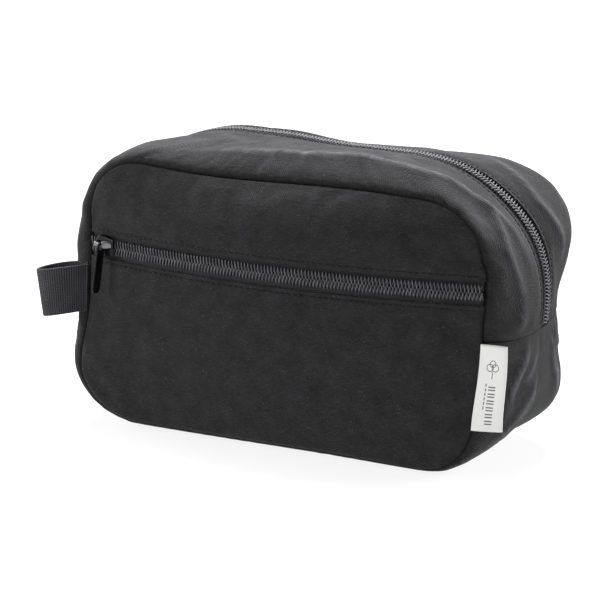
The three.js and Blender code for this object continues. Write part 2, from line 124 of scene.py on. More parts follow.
@dataclass(frozen=True)
class Weave:
    """A plain-woven cloth, with a painted highlight along fold crests that is partly rubbed wear, and painted shade
    deep in its seams and grooves, by a value on its points.

    Attributes:
        name: the material's name.
        ground: colour in the hollows between threads.
        crown: colour of the threads' tops, where dye has worn and dust sits.
        lint_and_highlight: colour of loose fibre and slubs, and of the painted highlight along fold crests.
        thread_mm: spacing of the threads.
        relief_mm: depth of the weave.
        lint_share: how much of the surface shows lint, 0 to 1.
        sheen: strength of the fibre fuzz at grazing angles.
        roughness: how matt the cloth is.
        ribs: direction of pronounced ribs, or None for a plain weave.
        unevenness: height of slubs and fuzz against the height of the regular threads.
    """

    name: str
    ground: str
    crown: str
    lint_and_highlight: str
    thread_mm: float
    relief_mm: float
    lint_share: float = 0.3
    sheen: float = 0.3
    roughness: float = 0.92
    ribs: Direction | None = None
    unevenness: float = 0.9

    def build(self) -> bpy.types.Material:
        """Builds the material: woven relief, slubs along the weft, lint and a soft fuzz, with the painted highlight and
        painted shade that its points carry.
        """
        material, tree, shader = new_material(self.name)
        add = partial(add_node, tree)
        cloth = add("ShaderNodeUVMap", {"uv_map": "cloth"})
        wander = add("ShaderNodeTexNoise", {"Scale": 1 / (6 * MM), "Detail": 2.0}, {"Vector": cloth.outputs[0]})
        shift = add(
            "ShaderNodeVectorMath", {"operation": "MULTIPLY_ADD", 1: (self.thread_mm * MM * 0.9,) * 3},
            {0: wander.outputs["Color"], 2: cloth.outputs[0]},
        )
        split = add("ShaderNodeSeparateXYZ", None, {0: shift.outputs[0]})
        waves = []
        for axis in (0, 1):
            turns = add(
                "ShaderNodeMath", {"operation": "MULTIPLY", 1: math.pi / (self.thread_mm * MM)},
                {0: split.outputs[axis]},
            )
            waves.append(add("ShaderNodeMath", {"operation": "SINE"}, {0: turns.outputs[0]}))
        if self.ribs is None:
            cross = add("ShaderNodeMath", {"operation": "MULTIPLY"}, {0: waves[0].outputs[0], 1: waves[1].outputs[0]})
        else:
            rib = waves[self.ribs.value]
            cross = add("ShaderNodeMath", {"operation": "ABSOLUTE"}, {0: rib.outputs[0]})
        slub_stretch = add(
            "ShaderNodeMapping", {"vector_type": "POINT", "Scale": (1 / (2.9 * MM), 1 / (0.8 * MM), 1.0)},
            {"Vector": cloth.outputs[0]},
        )
        slubs = add(
            "ShaderNodeTexNoise", {"Scale": 1.0, "Detail": 3.0, "Roughness": 0.6}, {"Vector": slub_stretch.outputs[0]}
        )
        height = add(
            "ShaderNodeMath", {"operation": "MULTIPLY_ADD", 1: self.unevenness},
            {0: slubs.outputs[0], 2: cross.outputs[0]},
        )
        bump = add("ShaderNodeBump", {"Strength": 1.0, "Distance": self.relief_mm * MM}, {"Height": height.outputs[0]})
        crowns = add("ShaderNodeMapRange", {1: -0.6, 2: 0.8 + self.unevenness, 3: 0.0, 4: 1.0}, {0: height.outputs[0]})
        patches = add(
            "ShaderNodeTexNoise", {"Scale": 1 / (11 * MM), "Detail": 6.0, "Roughness": 0.7},
            {"Vector": cloth.outputs[0]},
        )
        worn = add("ShaderNodeMath", {"operation": "MULTIPLY"}, {0: crowns.outputs[0], 1: patches.outputs[0]})
        cloth_colour = add(
            "ShaderNodeMix", {"data_type": "RGBA", 6: linear(self.ground), 7: linear(self.crown)}, {0: worn.outputs[0]}
        )
        specks = add("ShaderNodeTexNoise", {"Scale": 1 / (0.9 * MM), "Detail": 1.0}, {"Vector": cloth.outputs[0]})
        lint_mask = add("ShaderNodeMapRange", {1: 0.66, 2: 0.8, 3: 0.0, 4: self.lint_share}, {0: specks.outputs[0]})
        colour = add(
            "ShaderNodeMix", {"data_type": "RGBA", 7: linear(self.lint_and_highlight)},
            {0: lint_mask.outputs[0], 6: cloth_colour.outputs[2]},
        )
        # Painted light from a value on each point: above 0 a painted highlight along fold crests in the lint colour,
        # partly rubbed wear; below 0 painted shade.
        wear = add("ShaderNodeAttribute", {"attribute_name": "wear"})
        rubbed = add("ShaderNodeMapRange", {1: 0.0, 2: 1.0, 3: 0.0, 4: 1.0}, {0: wear.outputs["Fac"]})
        painted_shade = add("ShaderNodeMapRange", {1: 0.0, 2: -1.0, 3: 0.0, 4: 1.0}, {0: wear.outputs["Fac"]})
        patchy_wear_and_highlight = add("ShaderNodeMath", {"operation": "MULTIPLY"}, {0: rubbed.outputs[0], 1: patches.outputs[0]})
        colour = add(
            "ShaderNodeMix", {"data_type": "RGBA", 7: linear(self.lint_and_highlight)}, {0: patchy_wear_and_highlight.outputs[0], 6: colour.outputs[2]}
        )
        # Painted shade: near black where the point value is below 0, in seams and grooves.
        colour = add(
            "ShaderNodeMix", {"data_type": "RGBA", 7: linear("#050505")}, {0: painted_shade.outputs[0], 6: colour.outputs[2]}
        )
        tree.links.new(colour.outputs[2], shader.inputs["Base Color"])
        tree.links.new(bump.outputs[0], shader.inputs["Normal"])
        set_inputs(shader, {
            "Roughness": self.roughness, "Specular IOR Level": 0.12,
            "Sheen Weight": self.sheen, "Sheen Roughness": 0.3, "Sheen Tint": linear("#c8c8c8"),
        })
        return material


@dataclass(frozen=True)
class Moulded:
    """A smooth, even material such as drawn nylon or enamelled zinc.

    Attributes:
        name: the material's name.
        colour: its colour.
        worn: its colour where handling has polished or dusted it.
        roughness: its least roughness; hazy patches are rougher.
        grain_mm: spacing of the fine unevenness in its surface.
        relief_mm: depth of that unevenness.
        coat: strength of a clear coat.
        specular: strength of its mirror part.
        metallic: 1 for bare metal.
    """

    name: str
    colour: str
    worn: str
    roughness: float
    grain_mm: float = 0.8
    relief_mm: float = 0.01
    coat: float = 0.0
    specular: float = 0.5
    metallic: float = 0.0

    def build(self) -> bpy.types.Material:
        """Builds the material: an even body colour with haze, and a faint orange-peel relief."""
        material, tree, shader = new_material(self.name)
        add = partial(add_node, tree)
        place = add("ShaderNodeTexCoord")
        grain = add(
            "ShaderNodeTexNoise", {"Scale": 1 / (self.grain_mm * MM), "Detail": 3.0},
            {"Vector": place.outputs["Object"]},
        )
        haze = add("ShaderNodeTexNoise", {"Scale": 1 / (4 * MM), "Detail": 3.0}, {"Vector": place.outputs["Object"]})
        rough = add(
            "ShaderNodeMapRange", {1: 0.3, 2: 0.75, 3: self.roughness, 4: min(1.0, self.roughness * 1.7)},
            {0: haze.outputs[0]},
        )
        tint = add("ShaderNodeMapRange", {1: 0.45, 2: 0.7, 3: 0.0, 4: 0.7}, {0: haze.outputs[0]})
        colour = add(
            "ShaderNodeMix", {"data_type": "RGBA", 6: linear(self.colour), 7: linear(self.worn)}, {0: tint.outputs[0]}
        )
        bump = add("ShaderNodeBump", {"Strength": 1.0, "Distance": self.relief_mm * MM}, {"Height": grain.outputs[0]})
        tree.links.new(colour.outputs[2], shader.inputs["Base Color"])
        tree.links.new(rough.outputs[0], shader.inputs["Roughness"])
        tree.links.new(bump.outputs[0], shader.inputs["Normal"])
        set_inputs(shader, {
            "Specular IOR Level": self.specular, "Metallic": self.metallic,
            "Coat Weight": self.coat, "Coat Roughness": 0.15,
        })
        return material


@dataclass(frozen=True)
class PrintedRibbon:
    """Woven ribbon with a small generic mark: a round bud on a stalk, and two broken bars.

    Attributes:
        ribbon: the ribbon's own weave.
        ink: colour of the print.
        middle_mm: the mark's centre line, from the seam.
        top_mm: height of the mark's top above the base.
    """

    ribbon: Weave
    ink: str = "#5a5a5b"
    middle_mm: float = 8.2
    top_mm: float = 64.0

    def build(self) -> bpy.types.Material:
        """Builds the ribbon's material and prints the mark on its near leaf."""
        material = self.ribbon.build()
        tree = material.node_tree
        add = partial(add_node, tree)
        cloth = add("ShaderNodeUVMap", {"uv_map": "cloth"})
        split = add("ShaderNodeSeparateXYZ", None, {0: cloth.outputs[0]})
        across, up = (
            add("ShaderNodeMath", {"operation": "DIVIDE", 1: MM}, {0: split.outputs[axis]}).outputs[0]
            for axis in (0, 1)
        )

        def both(first: bpy.types.NodeSocket, second: bpy.types.NodeSocket, how: str) -> bpy.types.NodeSocket:
            """Combines two masks."""
            return add("ShaderNodeMath", {"operation": how}, {0: first, 1: second}).outputs[0]

        def bar(x: float, z: float, half_x: float, half_z: float) -> bpy.types.NodeSocket:
            """A rectangular patch of ink."""
            wide = add("ShaderNodeMath", {"operation": "COMPARE", 1: x, 2: half_x}, {0: across})
            high = add("ShaderNodeMath", {"operation": "COMPARE", 1: z, 2: half_z}, {0: up})
            return both(wide.outputs[0], high.outputs[0], "MULTIPLY")

        def ring(x: float, z: float, radius: float, line: float) -> bpy.types.NodeSocket:
            """A circle drawn with a thin line."""
            spot = add("ShaderNodeCombineXYZ", {2: 0.0}, {0: across, 1: up})
            away = add("ShaderNodeVectorMath", {"operation": "DISTANCE", 1: (x, z, 0.0)}, {0: spot.outputs[0]})
            edge = add("ShaderNodeMath", {"operation": "COMPARE", 1: radius, 2: line / 2}, {0: away.outputs["Value"]})
            return edge.outputs[0]

        x, z = self.middle_mm, self.top_mm
        marks = [ring(x - 1.5, z - 3.4, 1.9, 0.42), ring(x + 1.5, z - 3.4, 1.9, 0.42), ring(x, z - 1.4, 1.7, 0.42)]
        marks.append(bar(x, z - 7.4, 0.25, 1.8))
        for step in range(6):
            marks.append(bar(x + 0.6, z - 13.5 - 3.6 * step, 2.0, 0.32))
            marks.append(bar(x + 0.6, z - 15.0 - 3.6 * step, 2.0, 0.32))
            marks.append(bar(x - 2.9, z - 12.6 - 2.4 * step, 0.3, 0.8))
        total = marks[0]
        for mark in marks[1:]:
            total = both(total, mark, "MAXIMUM")
        shader = tree.nodes["Principled BSDF"]
        printed = add(
            "ShaderNodeMix", {"data_type": "RGBA", 7: linear(self.ink)},
            {0: total, 6: shader.inputs["Base Color"].links[0].from_socket},
        )
        tree.links.new(printed.outputs[2], shader.inputs["Base Color"])
        return material


# Cotton canvas, yarn-dyed black and washed once: very matt, its thread crowns a little greyer than the
# ground, with short pale slubs and a brushed fuzz that hides most of the thread grid. Real thread spacing
# is about 0.5 mm, drawn a little coarser so that it shows.
CANVAS = Weave("canvas_cotton_woven_black", "#0e0e0f", "#4c4c4e", "#77777c", 0.62, 0.08, 0.36, 0.17, unevenness=4.0)
# Polyester tape, woven in fine ribs along its length: smoother and a little glossier than cotton.
TAPE = Weave("zip_tape_polyester_woven", "#1f1f20", "#3a3a3c", "#4c4c4f", 0.6, 0.06, 0.15, 0.15, 0.7, Direction.ACROSS)
# Polyester lining, thin and plain.
LINING = Weave("lining_polyester_woven", "#141415", "#2c2c2e", "#38383a", 0.5, 0.04, 0.1, 0.1, 0.7)
# Cotton webbing; the ribs themselves are in the mesh, and this adds the yarns that lie over them.
WEBBING = Weave("webbing_cotton_ribbed", "#29292b", "#68686b", "#88888c", 0.7, 0.08, 0.25, 0.3, 0.8)
# Satin ribbon for the label: white, fine ribs across.
RIBBON = Weave("label_ribbon_satin_white", "#d4d4d2", "#ececea", "#f2f2f2", 0.45, 0.03, 0.1, 0.0, 0.6, Direction.ACROSS)
LABEL = PrintedRibbon(RIBBON)
# Spun polyester thread: small twisted strands, slightly paler than the canvas.
THREAD = Weave("thread_polyester_spun", "#111112", "#222224", "#303034", 0.25, 0.03, 0.2, 0.3, 0.7, Direction.ALONG)
# Nylon monofilament, drawn and heat set: satin, with a grey highlight on every loop.
NYLON = Moulded("zip_coil_nylon_drawn", "#414144", "#5f5f63", 0.34, 0.5, 0.01)
# Zinc casting under black enamel: glossy on the flats, hazier where fingers touch it.
ENAMEL = Moulded("slider_zinc_enamelled_black", "#09090a", "#121214", 0.24, 1.2, 0.02, 0.1, 0.14)
# The same casting on the crown, finished in pale bare zinc as a painted highlight for the light caught on the crown's
# top.
CROWN_HIGHLIGHT_ZINC = Moulded("crown_zinc_rubbed_bare", "#6c6c6f", "#939396", 0.26, 0.6, 0.02, metallic=1.0)
FINISHES = {"canvas": CANVAS, "tape": TAPE, "lining": LINING, "webbing": WEBBING, "label": LABEL,
            "thread": THREAD, "coil": NYLON, "enamel": ENAMEL, "rubbed": CROWN_HIGHLIGHT_ZINC}


# ---- mesh helpers ---------------------------------------------------------------------------------
def unit(vectors: np.ndarray) -> np.ndarray:
    """Scales vectors to length one along the last axis."""
    return vectors / np.maximum(np.linalg.norm(vectors, axis=-1, keepdims=True), 1e-12)


def smoothstep(low: float, high: float, value: np.ndarray) -> np.ndarray:
    """Rises smoothly from 0 at low to 1 at high."""
    share = np.clip((value - low) / (high - low), 0, 1)
    return share * share * (3 - 2 * share)


def graded(length_mm: float, step_mm: float, fine_ends: tuple[bool, bool] = (True, True)) -> np.ndarray:
    """Shares from 0 to 1 along a length, closely spaced at its fine ends for a rolled edge.

    Args:
        length_mm: the length that the shares divide.
        step_mm: spacing away from the ends.
        fine_ends: whether the start and the end are closely spaced.

    Returns:
        Rising shares with 0 first and 1 last.
    """
    edge_mm = np.array([0.12, 0.3, 0.55, 0.9, 1.3, 1.8, 2.4, 3.1, 4.0])
    start = edge_mm / length_mm if fine_ends[0] else np.array([])
    end = 1 - edge_mm[::-1] / length_mm if fine_ends[1] else np.array([])
    low = start[-1] if fine_ends[0] else 0.0
    high = end[0] if fine_ends[1] else 1.0
    count = max(2, round((high - low) * length_mm / step_mm))
    middle = np.linspace(low, high, count + 1)[1:-1]
    return np.concatenate([[0.0], start, middle, end, [1.0]])


def way_along(route: np.ndarray) -> np.ndarray:
    """Distances along a route of points, starting at 0."""
    return np.concatenate([[0], np.cumsum(np.linalg.norm(np.diff(route, axis=0), axis=1))])


def evened(line: np.ndarray, rounds: int) -> np.ndarray:
    """Rounds a line's corners off in place, keeping its ends."""
    for _ in range(rounds):
        line[1:-1] = (line[:-2] + 2 * line[1:-1] + line[2:]) / 4
    return line


def left_of(line: np.ndarray) -> np.ndarray:
    """Unit vectors to the left of a flat line."""
    along = unit(np.gradient(line, axis=0))
    return np.stack([-along[:, 1], along[:, 0]], axis=1)


def placed(name: str, data: bpy.types.ID) -> bpy.types.Object:
    """Puts a mesh, lamp or camera into the scene as a new object."""
    obj = bpy.data.objects.new(name, data)
    bpy.context.scene.collection.objects.link(obj)
    return obj


def new_object(
    name: str, points: np.ndarray, faces: np.ndarray | list, cloth_uv: np.ndarray | None = None, smooth: bool = True
) -> bpy.types.Object:
    """Makes a mesh object.

    Args:
        name: the piece's name.
        points: vertex positions.
        faces: vertex numbers of each face.
        cloth_uv: for each vertex, its place on the flat cloth in metres.
        smooth: whether the faces are shaded smooth.

    Returns:
        The new object, linked to the scene.
    """
    mesh = bpy.data.meshes.new(name)
    corners_of = faces if isinstance(faces, list) else faces.tolist()
    mesh.from_pydata(np.asarray(points).reshape(-1, 3).tolist(), [], corners_of)
    if cloth_uv is not None:
        layer = mesh.uv_layers.new(name="cloth")
        corners = np.empty(len(mesh.loops), dtype=np.int32)
        mesh.loops.foreach_get("vertex_index", corners)
        layer.data.foreach_set("uv", np.asarray(cloth_uv).reshape(-1, 2)[corners].ravel())
    if smooth:
        mesh.shade_smooth()
    mesh.update()
    return placed(name, mesh)


def slab_mesh(
    name: str,
    outer: np.ndarray,
    inner: np.ndarray,
    cloth_uv: np.ndarray,
    ring: bool = False,
    wear: np.ndarray | None = None,
) -> bpy.types.Object:
    """Closes two matching grids of points into one solid.

    Args:
        name: the piece's name.
        outer: the outer grid, rows by columns by 3.
        inner: the inner grid.
        cloth_uv: the outer grid's places on the flat cloth, rows by columns by 2.
        ring: whether the last row joins the first.
        wear: for each point of the outer grid, 1 for a painted highlight that is partly rubbed wear, down to -1 for
            painted shade in a seam or groove.

    Returns:
        The new object.
    """
    rows, columns = outer.shape[:2]
    number = np.arange(rows * columns).reshape(rows, columns)
    if ring:
        number = np.vstack([number, number[:1]])
    under = number + rows * columns

    def quads(a: np.ndarray, b: np.ndarray, c: np.ndarray, d: np.ndarray) -> np.ndarray:
        """Stacks four corner arrays into quads."""
        return np.stack([a.ravel(), b.ravel(), c.ravel(), d.ravel()], axis=1)

    faces = [
        quads(number[:-1, :-1], number[1:, :-1], number[1:, 1:], number[:-1, 1:]),
        quads(under[:-1, :-1], under[:-1, 1:], under[1:, 1:], under[1:, :-1]),
        quads(number[1:, 0], number[:-1, 0], under[:-1, 0], under[1:, 0]),
        quads(number[:-1, -1], number[1:, -1], under[1:, -1], under[:-1, -1]),
    ]
    if not ring:
        faces.append(quads(number[0, :-1], number[0, 1:], under[0, 1:], under[0, :-1]))
        faces.append(quads(number[-1, 1:], number[-1, :-1], under[-1, :-1], under[-1, 1:]))
    faces = np.concatenate(faces)
    mid_row, mid_column = rows // 2, columns // 2
    across = outer[mid_row, mid_column] - inner[mid_row, mid_column]
    facing = np.cross(
        outer[mid_row + 1, mid_column] - outer[mid_row, mid_column] if rows > 2 else outer[1, 0] - outer[0, 0],
        outer[mid_row, mid_column] - outer[mid_row, mid_column - 1],
    )
    if np.dot(facing, across) < 0:
        faces = faces[:, ::-1]
    points = np.concatenate([outer.reshape(-1, 3), inner.reshape(-1, 3)])
    uv = np.concatenate([cloth_uv.reshape(-1, 2)] * 2)
    piece = new_object(name, points, faces, uv)
    if wear is not None:
        layer = piece.data.attributes.new("wear", "FLOAT", "POINT")
        layer.data.foreach_set("value", np.concatenate([wear.ravel()] * 2).astype(np.float32))
    return piece


def grid_normals(grid: np.ndarray, outward_from: np.ndarray) -> np.ndarray:
    """Unit normals of a grid of points, facing away from a point inside.

    Args:
        grid: rows by columns by 3.
        outward_from: a point on the inner side.

    Returns:
        The normals, in the grid's shape.
    """
    normals = unit(np.cross(np.gradient(grid, axis=0), np.gradient(grid, axis=1)))
    facing = np.sum(normals * (grid - outward_from), axis=-1, keepdims=True)
    return np.where(facing < 0, -normals, normals)


def tube_mesh(name: str, routes: Sequence[np.ndarray], radii: np.ndarray, sides: int) -> bpy.types.Object:
    """Sweeps a round section along many routes with the same number of points, in one mesh.

    Args:
        name: the piece's name.
        routes: arrays of points by 3, all of one length.
        radii: the section's radius at each point of a route.
        sides: the section's number of sides.

    Returns:
        The new object.
    """
    stack = np.asarray(routes)
    count, steps = stack.shape[:2]
    along = unit(np.gradient(stack, axis=1))
    helper = np.where(np.abs(along[..., 2:3]) > 0.9, [[[1.0, 0, 0]]], [[[0, 0, 1.0]]])
    first = unit(np.cross(along, helper))
    second = np.cross(along, first)
    turn = np.linspace(0, 2 * math.pi, sides, endpoint=False)
    ring = first[:, :, None] * np.cos(turn)[:, None] + second[:, :, None] * np.sin(turn)[:, None]
    points = stack[:, :, None] + ring * np.asarray(radii)[None, :, None, None]
    number = np.arange(count * steps * sides).reshape(count, steps, sides)
    after = np.roll(number, -1, axis=2)
    sides_of = np.stack([number[:, :-1], after[:, :-1], after[:, 1:], number[:, 1:]], axis=-1).reshape(-1, 4)
    faces = sides_of.tolist() + number[:, 0, ::-1].tolist() + number[:, -1].tolist()
    uv = np.zeros(points.shape[:3] + (2,))
    uv[..., 0] = way_along(stack[0])[None, :, None]
    uv[..., 1] = turn[None, None, :] * float(np.mean(radii))
    return new_object(name, points, faces, uv)


class Wardrobe:
    """Holds one built material per finish, and dresses pieces in them."""

    def __init__(self) -> None:
        """Builds every finish once."""
        self.materials = {name: finish.build() for name, finish in FINISHES.items()}

    def dress(self, piece: bpy.types.Object, finish: str, body: str, replaces: Sequence[str] = ()) -> None:
        """Gives a piece its material, its body and the nodes that it stands for.

        Args:
            piece: the finished piece.
            finish: a name in FINISHES.
            body: the CAD body it rides on.
            replaces: CAD nodes that it hides.
        """
        piece.data.materials.clear()
        piece.data.materials.append(self.materials[finish])
        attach(piece, body)
        if replaces:
            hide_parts(*replaces)
        log.info("%s in %s on %s, %d vertices", piece.name, finish, body, len(piece.data.vertices))


# ---- the bag's shape ------------------------------------------------------------------------------
@dataclass(frozen=True)
class Nudge:
    """A soft push on the cloth round a point.

    Attributes:
        centre_mm: where the push is strongest.
        reach_mm: how far it reaches.
        shift_mm: how the cloth there moves.
    """

    centre_mm: tuple[float, float, float]
    reach_mm: float
    shift_mm: tuple[float, float, float]


@dataclass(frozen=True)
class Crease:
    """A ridge, or with a negative height a valley, along a route over the gusset.

    Attributes:
        route: places round the outline with depths in mm, in order.
        height_mm: how far the ridge stands up.
        width_mm: its width to either side.
        crest_wear_and_highlight: how strongly its crest is painted paler, a painted highlight that is partly rubbed
            wear, against a usual fold.
    """

    route: tuple[tuple[float, float], ...]
    height_mm: float
    width_mm: float
    crest_wear_and_highlight: float = 1.0


@dataclass
class BagShape:
    """The outer face of the filled bag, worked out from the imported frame.

    A place runs round the outline seen from the front, from 0 at the middle of the base to the right,
    over the top and back to 11. Whole numbers are the joins of its straights and corners.
    """

    corner: float = 0.032
    top_corner_swell: float = 0.048
    base_corner_swell: float = 0.014
    seam_bow: float = 0.2
    belly_low: float = 0.056
    belly_high: float = 0.112
    cross_seam: float = 0.073
    base_lift_mm: float = 4.2
    base_roll_mm: float = 11.0
    front_rolls_mm: tuple[float, ...] = (1.2, 1.6, 1.2, 1.6, 1.6, 2.0, 2.2, 3.6, 2.0, 1.2, 1.4, 1.2)
    back_rolls_mm: tuple[float, ...] = (1.0, 1.5, 1.0, 1.0, 2.5, 0.6, 0.3, 1.8, 1.0, 1.0, 1.5, 1.0)
    nudges: tuple[Nudge, ...] = ()
    creases: tuple[Crease, ...] = ()

    def __post_init__(self) -> None:
        """Reads the driving sizes from the frame."""
        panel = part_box("back_panel")
        joints = {joint["name"]: joint for joint in frame["joints"]}
        self.joints = joints
        self.half_width: float = panel[1][0]
        self.height: float = panel[1][2]
        self.end_swell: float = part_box("bottom_gusset")[1][0] - self.half_width
        self.top_swell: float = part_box("zip_gusset_front")[1][2] - self.height
        self.pocket_zip: float = joints["pocket_slider_travel"]["pos_m"][2]
        self.arc_centre: float = joints["pocket_slider_travel"]["pos_m"][1]
        self.arc_radius: float = self.arc_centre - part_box("front_lower_panel")[0][1]
        self.half_depth: float = math.sqrt(self.arc_radius**2 - self.half_width**2) - self.arc_centre
        self.belly: float = self.arc_radius - self.arc_centre - self.half_depth
        self.centre = np.array([0, 0, self.height / 2])

    def columns(self, corner_steps: int, middle_steps: int, inset: float = 0.0) -> tuple[np.ndarray, np.ndarray]:
        """Columns of a panel, set in from its seam.

        Args:
            corner_steps: columns across each corner.
            middle_steps: columns between the corners.
            inset: distance from the seam.

        Returns:
            The columns' x, and the corners' rise there.
        """
        half, radius = self.half_width - inset, self.corner - inset
        turns = np.linspace(0, math.pi / 2, corner_steps + 1)[1:]
        corner_x = half - radius + radius * np.sin(turns)
        rise = radius * (1 - np.cos(turns))
        middle = np.linspace(radius - half, half - radius, middle_steps)
        x = np.concatenate([-corner_x[::-1], middle, corner_x])
        return x, np.concatenate([rise[::-1], np.zeros_like(middle), rise])

    def plan_arc(self, x: np.ndarray) -> np.ndarray:
        """How far a panel's arc in plan stands proud of its seams at x."""
        return np.sqrt(np.maximum(self.arc_radius**2 - x**2, 0)) - (self.arc_radius - self.belly)

    def belly_share(self, z: np.ndarray) -> np.ndarray:
        """The share of the plan arc that a panel has at height z."""
        below = np.maximum(0, self.belly_low - z) / self.belly_low
        above = np.maximum(0, z - self.belly_high) / (self.height - self.belly_high)
        return self.seam_bow + (1 - self.seam_bow) * (1 - np.maximum(below, above) ** 2)

    def face_depth(self, x: np.ndarray, z: np.ndarray) -> np.ndarray:
        """Depth in y of the front panel, before any push or fold."""
        return -self.half_depth - self.plan_arc(x) * self.belly_share(z)

    def outline(self, place: np.ndarray, swell: np.ndarray) -> tuple[np.ndarray, np.ndarray]:
        """The outline seen from the front.

        Args:
            place: places round the outline, 0 to 11.
            swell: 0 at the seams to 1 at mid depth.

        Returns:
            Arrays of x and z.
        """
        place, swell = np.broadcast_arrays(np.mod(place, 11), swell)
        side = np.where(place > 5.5, -1.0, 1.0)
        near = np.where(place > 5.5, 11 - place, place)
        half = self.half_width + self.end_swell * swell
        top = self.height + self.top_swell * swell
        top_corner = self.corner + self.top_corner_swell * swell
        base_corner = self.corner + self.base_corner_swell * swell
        share = near - np.floor(near)
        turn = share * math.pi / 2
        cases = [near < 1, near < 2, near < 3, near < 4, near < 5]
        x = np.select(
            cases,
            [
                (half - base_corner) * share,
                half - base_corner + base_corner * np.sin(turn),
                half,
                half,
                half - top_corner + top_corner * np.cos(turn),
            ],
            (half - top_corner) * (1 - 2 * (near - 5)),
        )
        z = np.select(
            cases,
            [
                np.zeros_like(half),
                base_corner - base_corner * np.cos(turn),
                base_corner + (self.cross_seam - base_corner) * share,
                self.cross_seam + (top - top_corner - self.cross_seam) * share,
                top - top_corner + top_corner * np.sin(turn),
            ],
            top,
        )
        return side * x, z

    def seam_depth(self, place: np.ndarray) -> np.ndarray:
        """Depth in y of the front seam at a place."""
        x, z = self.outline(place, np.zeros_like(place))
        return self.face_depth(x, z)

    def calm(self, points: np.ndarray) -> np.ndarray:
        """How freely the cloth may move: 0 along both zips, where the sliders run, and 1 well away."""
        ridden = 1 - smoothstep(-0.025, 0.02, points[..., 0])
        main = 1 - ridden * (1 - smoothstep(0.0095, 0.024, np.abs(points[..., 1])))
        off_zip = smoothstep(0.0085, 0.019, np.abs(points[..., 2] - self.pocket_zip))
        at_front = smoothstep(0.034, 0.047, -points[..., 1])
        return main * (1 - (1 - off_zip) * at_front)

    def pushed(self, points: np.ndarray) -> np.ndarray:
        """Moves points by the nudges, except along the zips and below the floor."""
        moved = points.copy()
        calm = self.calm(points)
        for nudge in self.nudges:
            away = np.linalg.norm(points - np.array(nudge.centre_mm) * MM, axis=-1)
            weight = np.exp(-0.5 * (away / (nudge.reach_mm * MM)) ** 2) * calm
            moved += weight[..., None] * np.array(nudge.shift_mm) * MM
        lift_off = smoothstep(0, 0.006, points[..., 2])
        moved[..., 2] = points[..., 2] + (moved[..., 2] - points[..., 2]) * lift_off
        out = np.abs(points[..., 1]) - (self.half_depth + self.plan_arc(points[..., 0]) * self.seam_bow)
        near_edge = np.exp(-np.minimum(out, 0) ** 2 / (self.base_roll_mm * MM) ** 2)
        low = np.exp(-np.maximum(points[..., 2], 0) / (14 * MM))
        tilt = np.where(points[..., 1] < 0, 1 - 0.5 * smoothstep(0.02, 0.1, points[..., 0]), 0.6)
        moved[..., 2] += self.base_lift_mm * MM * near_edge * low * tilt
        return moved

    def front(self, x: np.ndarray, z: np.ndarray) -> np.ndarray:
        """Points of the front panel's outer face."""
        x, z = np.broadcast_arrays(x, z)
        return self.pushed(np.stack([x, self.face_depth(x, z), z], axis=-1))

    def back(self, x: np.ndarray, z: np.ndarray) -> np.ndarray:
        """Points of the back panel's outer face."""
        x, z = np.broadcast_arrays(x, z)
        return self.pushed(np.stack([x, -self.face_depth(x, z), z], axis=-1))

    def gusset(self, place: np.ndarray, depth: np.ndarray) -> np.ndarray:
        """Points of the gusset's outer face at places and depths in y, without its folds."""
        place, depth = np.broadcast_arrays(place, depth)
        seam = self.seam_depth(place)
        across = np.clip((depth - seam) / (-2 * seam), 0, 1)
        swell = 1 - np.abs(1 - 2 * across) ** 4
        x, z = self.outline(place, swell)
        return self.pushed(np.stack([x, depth, z], axis=-1))

    def seam_roll(self, place: np.ndarray, depth: np.ndarray) -> np.ndarray:
        """How far the gusset rolls out right behind each panel's seam."""
        edge = np.abs(self.seam_depth(place))
        total = np.zeros(np.broadcast(place, depth).shape)
        for side, rolls in ((-1, self.front_rolls_mm), (1, self.back_rolls_mm)):
            away = np.maximum(edge - side * depth, 0) / (6.5 * MM)
            size = np.interp(np.mod(place, 11), np.arange(12), rolls)
            total += size * MM * away * np.exp(1 - away)
        return total

    def creased(self, points: np.ndarray) -> tuple[np.ndarray, np.ndarray]:
        """How far the folds lift the gusset's cloth at points of its face, and how strongly a painted highlight, partly
        rubbed wear, pales it there.
        """
        total = np.zeros(points.shape[:-1])
        rubbed = np.zeros(points.shape[:-1])
        for crease in self.creases:
            route = np.array(crease.route)
            steps = np.linspace(0, len(route) - 1, 12 * len(route))
            marks = np.arange(len(route))
            line = self.gusset(np.interp(steps, marks, route[:, 0]), np.interp(steps, marks, route[:, 1]) * MM)
            away = np.full(points.shape[:-1], 1.0)
            nearest = np.zeros(points.shape[:-1])
            for index, spot in enumerate(line):
                distance = np.linalg.norm(points - spot, axis=-1)
                closer = distance < away
                away = np.where(closer, distance, away)
                nearest = np.where(closer, steps[index], nearest)
            span = len(route) - 1
            fade = smoothstep(0, 0.25, nearest / span) * smoothstep(0, 0.25, 1 - nearest / span)
            crest = 0.6 * MM
            profile = np.exp(-(np.hypot(away, crest) - crest) / (crease.width_mm * MM))
            total += crease.height_mm * MM * profile * fade
            # Painted highlight: the crest of each raised fold is painted paler, partly as rubbed wear.
            if crease.height_mm > 0:
                crest_line = np.exp(-((away / (1.4 * MM)) ** 2))
                rubbed = np.maximum(rubbed, crest_line * fade * crease.crest_wear_and_highlight * crease.height_mm / 5.5)
        off_zip = smoothstep(0.0095, 0.018, np.abs(points[..., 1]))
        return total * off_zip, rubbed * off_zip

    def ripples(self, along_mm: np.ndarray, seed: float) -> np.ndarray:
        """An uneven wave of about unit height with crests 7 to 16 mm apart."""
        waves = [(7.3, 1.0), (10.9, 0.8), (15.7, 0.6)]
        total = sum(
            size * np.sin(2 * math.pi * along_mm / pitch + seed * (3.1 + pitch)) for pitch, size in waves
        )
        slow = 0.5 + 0.5 * np.sin(2 * math.pi * along_mm / 61 + seed * 1.7)
        return total * slow / 1.4


